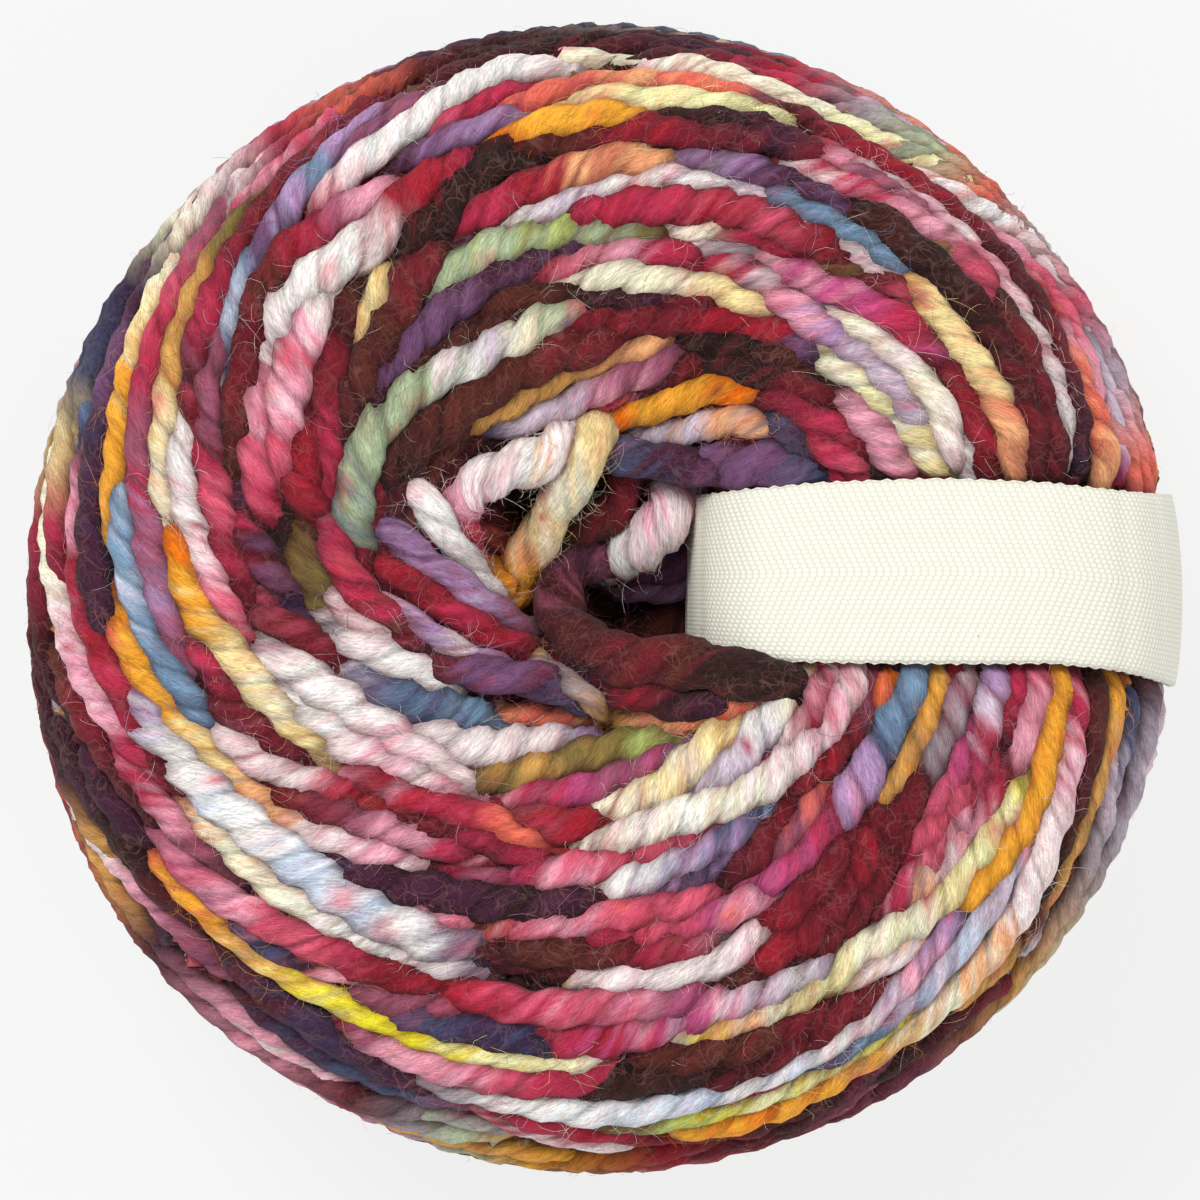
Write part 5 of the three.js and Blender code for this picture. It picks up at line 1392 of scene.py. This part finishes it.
def fibreColours(colours):
    # the strand's colour at its root, painted shade included, with some fibres of dark wool paler than it
    dark = 1 - np.clip(colours.mean(1, keepdims=True) / looseFibres["darkBelow"], 0, 1)
    share = random.uniform(*looseFibres["paleShare"], (len(colours), 1)) * dark
    return colours * (1 - share) + np.array(looseFibres["pale"]) * share


def fibreLines(start, tangent, lift, count, rings, longest):
    # each fibre leaves its strand to one side, curls, and falls back a little
    length = random.uniform(looseFibres["shortest"], 1, (count, 1)) * longest
    side = np.cross(lift, tangent) * random.normal(0, looseFibres["sideways"], (count, 1))
    forward = tangent * random.choice([-1, 1], (count, 1))
    heading = unit(forward + side + lift * random.uniform(*looseFibres["lift"], (count, 1)))
    curl = unit(lift + random.normal(0, looseFibres["curlSpread"], (count, 3)))
    curl = curl * random.normal(0, looseFibres["curl"], (count, 1))
    line = [start - looseFibres["root"] * lift]
    for _ in range(rings + 1):
        line.append(line[-1] + heading * length / (rings + 1))
        fall = lift * random.uniform(*looseFibres["fall"], (count, 1))
        heading = unit(heading + np.cross(curl, heading) - fall)
    return np.stack(line, axis=1)


def fibreFaces(rings):
    # a point, rings of three corners each and a second point
    corners = [(c, (c + 1) % 3) for c in range(3)]
    faces = [(0, 1 + d, 1 + c) for c, d in corners]
    for k in range(rings - 1):
        a, b = 1 + 3 * k, 4 + 3 * k
        for c, d in corners:
            faces += [(a + c, a + d, b + d), (a + c, b + d, b + c)]
    lastRing = 1 + 3 * (rings - 1)
    return np.array(faces + [(lastRing + 3, lastRing + c, lastRing + d) for c, d in corners])


def addFibres(stock, anchors, count, rings, longest):
    picked = anchors[random.integers(len(anchors), size=count)]
    start, tangent, lift, colours = picked[:, :3], picked[:, 3:6], picked[:, 6:9], picked[:, 9:12]
    line = fibreLines(start, tangent, lift, count, rings, longest)
    thick = random.uniform(looseFibres["thin"], looseFibres["thick"], (count, 1))
    reference = unit(random.normal(0, 1, (count, 3)))
    points = [line[:, 0]]
    for k in range(1, rings + 1):
        along = unit(line[:, k + 1] - line[:, k - 1])
        first = unit(np.cross(along, reference))
        second = np.cross(along, first)
        for angle in (0, 2 * np.pi / 3, 4 * np.pi / 3):
            points.append(line[:, k] + thick * (first * math.cos(angle) + second * math.sin(angle)))
    points = np.stack(points + [line[:, -1]], axis=1)
    each = points.shape[1]
    faces = fibreFaces(rings)[None] + each * np.arange(count)[:, None, None]
    addMesh(stock, points, np.repeat(fibreColours(colours), each, axis=0), triangles=faces.reshape(-1, 3))


def buildFibres(name, anchors, *lots):
    stock = newStock()
    for lot in lots:
        addFibres(stock, anchors, *looseFibres[lot])
    buildPiece(name, stock, woolFibre)


def besideTape(anchors):
    return anchors[underTape(anchors[:, :3]) < looseFibres["besideTape"]]


topAnchors = np.concatenate(topStock["anchors"] + centreStock["anchors"] + baseStock["anchors"])
topAnchors = besideTape(topAnchors[topAnchors[:, 2] > looseFibres["topAbove"]])
innerAnchors = topAnchors[np.hypot(topAnchors[:, 0], topAnchors[:, 1]) < looseFibres["within"]]
sideAnchors = np.concatenate(sideStock["anchors"] + baseStock["anchors"])
sideAnchors = besideTape(sideAnchors[sideAnchors[:, 2] > looseFibres["sideAbove"]])
centreAnchors = np.concatenate(centreStock["anchors"])
centreAnchors = centreAnchors[centreAnchors[:, 0] < looseFibres["centreTo"]]
buildFibres("topFibres", innerAnchors, "long")
buildFibres("topCurls", innerAnchors, "long")
buildFibres("topFuzz", topAnchors, "short")
buildFibres("centreFuzz", centreAnchors, "centre")
buildFibres("sideFibres", sideAnchors, "sideLong", "sideShort")
print("fibres laid")


# The tape
def tapeLine():
    # the tape's way round the cake in X and Z, with the length up to each point and in all
    turn = (np.arange(tape["lineSteps"]) + 0.5) / tape["lineSteps"] * 2 * np.pi
    line = bodyPoint(turn, 0.0) + tape["lift"] * bodyNormal(turn, 0.0)
    line = line[:, [0, 2]]
    line[:, 1] = np.maximum(line[:, 1], tape["aboveFloor"])
    closed = np.vstack([line, line[:1]])
    along = lengthsAlong(closed)
    count = int(along[-1] / tape["step"])
    at = np.arange(count) / count * along[-1]
    return np.stack([np.interp(at, along, closed[:, i]) for i in range(2)], axis=1), at, along[-1]


def makeTape():
    line, at, whole = tapeLine()
    x, z = line[:, 0], line[:, 1]
    ahead = np.roll(line, -1, axis=0) - np.roll(line, 1, axis=0)
    out = unit(np.stack([ahead[:, 1], -ahead[:, 0]], axis=1))
    rows, columns = len(line), tape["columns"]
    across = np.linspace(-0.5, 0.5, columns + 1)
    across = across + tape["edgeCrowd"] * np.sin(2 * np.pi * across)
    edge = eased(tape["edgeFrom"], tape["edgeTo"], np.abs(across))
    scallop = np.sin(2 * np.pi * at[:, None] / tape["selvedgePitch"] + (across > 0) * tape["selvedgeShift"])
    drift = np.sin(2 * np.pi * at / whole * tape["driftCount"])[:, None]
    uneven = (tape["selvedge"] * scallop + tape["drift"] * drift) * edge
    y = tapeOffset(x)[:, None] + across * tapeWidth(x)[:, None] + np.sign(across) * uneven
    bow = tapeShare(x)[:, None] * y**2 / (2 * body["radius"])
    wave = sum(size * np.sin(2 * np.pi * at / whole * times + phase) for size, times, phase in tape["waves"])
    middle = tape["waveAtMiddle"]
    loose = wave[:, None] * (middle + (1 - middle) * np.abs(across) * 2)
    loose = loose * eased(tape["waveFrom"], tape["waveTo"], z)[:, None]
    faces = []
    for depth, thin in ((0.0, -tape["edgeThin"]), (-tape["thickness"], tape["edgeThin"])):
        away = depth - bow + thin * edge + np.clip(loose, tape["waveLow"], tape["waveHigh"])
        faces.append(np.stack([x[:, None] + out[:, :1] * away, y, z[:, None] + out[:, 1:] * away], axis=-1))
    ring = np.concatenate([faces[0], faces[1][:, ::-1]], axis=1)
    sides = ring.shape[1]
    k, j, _, nextJ = gridSteps(rows, sides, True)
    acrossAll = np.concatenate([across, across[::-1]]) * tape["widthOnTop"] / uvUnit
    start, end = at[k] / uvUnit, (at[k] + whole / rows) / uvUnit
    stock = newStock()
    addMesh(stock, ring, np.ones((rows * sides, 3)), gridQuads(rows, sides, True))
    stock["quadUv"].append(cornerUv(acrossAll[j], acrossAll[nextJ], start, end).reshape(-1, 2)[:, ::-1])
    return stock, whole


# Herringbone: warp ends run along the tape; each floats over two picks, and the next one is a step
# further on, so that the slant turns back at the tape's middle
cotton = {
    "finish": {"Roughness": 0.88, "Specular IOR Level": 0.25, "Sheen Weight": 0.1},
    "rowPitch": 0.052, "floatPitch": 0.082, "shift": 0.30, "roundness": 3.4, "floatPower": 0.7,
    "fuzzScale": 60.0, "fuzzDetail": 3.0, "fuzz": 0.25, "relief": 0.5, "reliefDepth": 0.00016,
    "between": (0.72, 0.71, 0.57, 1), "raised": (0.93, 0.93, 0.83, 1), "raisedShare": 1.6,
    "fleckScale": 3.2, "fleckFrom": 0.03, "fleckTo": 0.055, "fleckShare": 0.6, "fleck": (0.30, 0.18, 0.07, 1),
    "fleckShuffle": 7.0, "fleckAbove": 0.72,
}


def makeTapeMaterial():
    material, tree, shader = newMaterial("cottonTape", cotton["finish"])
    uv = addNode(tree, "ShaderNodeUVMap", uv_map="along").outputs[0]
    along, across = convertNode(tree, "ShaderNodeSeparateXYZ", uv)[:2]
    row = mathNode(tree, "DIVIDE", mathNode(tree, "ABSOLUTE", across), cotton["rowPitch"])
    fromMiddle = mathNode(tree, "ABSOLUTE", mathNode(tree, "SUBTRACT", mathNode(tree, "FRACT", row), 0.5))
    hollow = mathNode(tree, "MULTIPLY", mathNode(tree, "POWER", fromMiddle, 2.0), cotton["roundness"])
    floats = mathNode(tree, "DIVIDE", along, cotton["floatPitch"])
    step = mathNode(tree, "MULTIPLY_ADD", mathNode(tree, "FLOOR", row), -cotton["shift"], floats)
    wave = mathNode(tree, "SINE", mathNode(tree, "MULTIPLY", step, 2 * math.pi))
    pulse = mathNode(tree, "POWER", mathNode(tree, "MULTIPLY_ADD", wave, 0.5, 0.5), cotton["floatPower"])
    stitch = mathNode(tree, "MULTIPLY", mathNode(tree, "SUBTRACT", 1.0, hollow), pulse)
    fuzz = noiseNode(tree, uv, cotton["fuzzScale"], cotton["fuzzDetail"]).outputs[0]
    height = mathNode(tree, "MULTIPLY_ADD", fuzz, cotton["fuzz"], stitch)
    addRelief(tree, shader, height, cotton["relief"], cotton["reliefDepth"])
    # painted shade: the hollows between the floats are darker than the floats themselves
    raised = mathNode(tree, "MULTIPLY", stitch, cotton["raisedShare"])
    colour = mixNode(tree, raised, cotton["between"], cotton["raised"])
    # a few brown flecks of cotton seed
    flecks = addNode(tree, "ShaderNodeTexVoronoi", {"Scale": cotton["fleckScale"]})
    tree.links.new(uv, flecks.inputs["Vector"])
    near = rangeNode(tree, flecks.outputs["Distance"], cotton["fleckFrom"], cotton["fleckTo"],
                     cotton["fleckShare"], 0.0)
    chance = convertNode(tree, "ShaderNodeSeparateXYZ", flecks.outputs["Color"])[0]
    chance = mathNode(tree, "FRACT", mathNode(tree, "MULTIPLY", chance, cotton["fleckShuffle"]))
    picked = mathNode(tree, "GREATER_THAN", chance, cotton["fleckAbove"])
    stained = mixNode(tree, mathNode(tree, "MULTIPLY", near, picked), colour, cotton["fleck"])
    tree.links.new(stained, shader.inputs["Base Color"])
    return material


tapeStock, tapeLength = makeTape()
tapePiece = buildPiece("tapeBand", tapeStock, makeTapeMaterial())
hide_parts("tape_band")
print("tape laid,", round(tapeLength, 1), "mm round")

# Floor, light and camera, in metres
stage = {
    "floorSize": 4.0, "glowFrom": 0.05, "glowTo": 0.06,
    "finish": {"Base Color": (0.12, 0.12, 0.12, 1), "Emission Strength": 0.79, "Roughness": 0.95},
    "worldShade": (1.0, 1.0, 1.0, 1), "worldStrength": 0.66, "lightsAim": (0, 0, 0.04),
}
lights = {
    "keyLight": {"place": (-0.42, 0.6, 1.3), "size": 0.6, "energy": 12.0, "shade": (1.0, 0.99, 0.97)},
    "fillLight": {"place": (0.9, -0.5, 0.9), "size": 1.0, "energy": 2.0, "shade": (0.97, 0.98, 1.0)},
}
camera = {"height": sight["eye"] * toMetres, "lens": 200.0, "sensor": 36.0}


def makeFloor():
    bpy.ops.object.select_all(action="DESELECT")
    bpy.ops.mesh.primitive_plane_add(size=stage["floorSize"], location=(0, 0, 0))
    floor = bpy.context.object
    floor.name = "floor"
    material, tree, shader = newMaterial("palePaper", stage["finish"])
    # the paper is evenly lit beyond the cake, and dark below it
    place = addNode(tree, "ShaderNodeTexCoord").outputs["Object"]
    away = addNode(tree, "ShaderNodeVectorMath", operation="LENGTH")
    tree.links.new(place, away.inputs[0])
    glow = rangeNode(tree, away.outputs["Value"], stage["glowFrom"], stage["glowTo"], 0.0, 1.0)
    tree.links.new(glow, shader.inputs["Emission Color"])
    floor.data.materials.append(material)


def addLight(name, form):
    data = bpy.data.lights.new(name, "AREA")
    data.shape = "DISK"
    data.size = form["size"]
    data.energy = form["energy"]
    data.color = form["shade"]
    light = bpy.data.objects.new(name, data)
    light.location = form["place"]
    aim = Vector(stage["lightsAim"]) - Vector(form["place"])
    light.rotation_euler = aim.to_track_quat("-Z", "Y").to_euler()
    bpy.context.collection.objects.link(light)


def makeWorld():
    world = bpy.data.worlds.new("studio")
    world.use_nodes = True
    background = world.node_tree.nodes["Background"]
    background.inputs["Color"].default_value = stage["worldShade"]
    background.inputs["Strength"].default_value = stage["worldStrength"]
    bpy.context.scene.world = world


def addCamera():
    data = bpy.data.cameras.new("camera")
    data.lens = camera["lens"]
    data.sensor_width = camera["sensor"]
    eye = bpy.data.objects.new("camera", data)
    eye.location = (0, 0, camera["height"])
    bpy.context.collection.objects.link(eye)
    bpy.context.scene.camera = eye


makeFloor()
for name, form in lights.items():
    addLight(name, form)
makeWorld()
bpy.context.scene.view_settings.view_transform = "Standard"
addCamera()
print("stage ready")
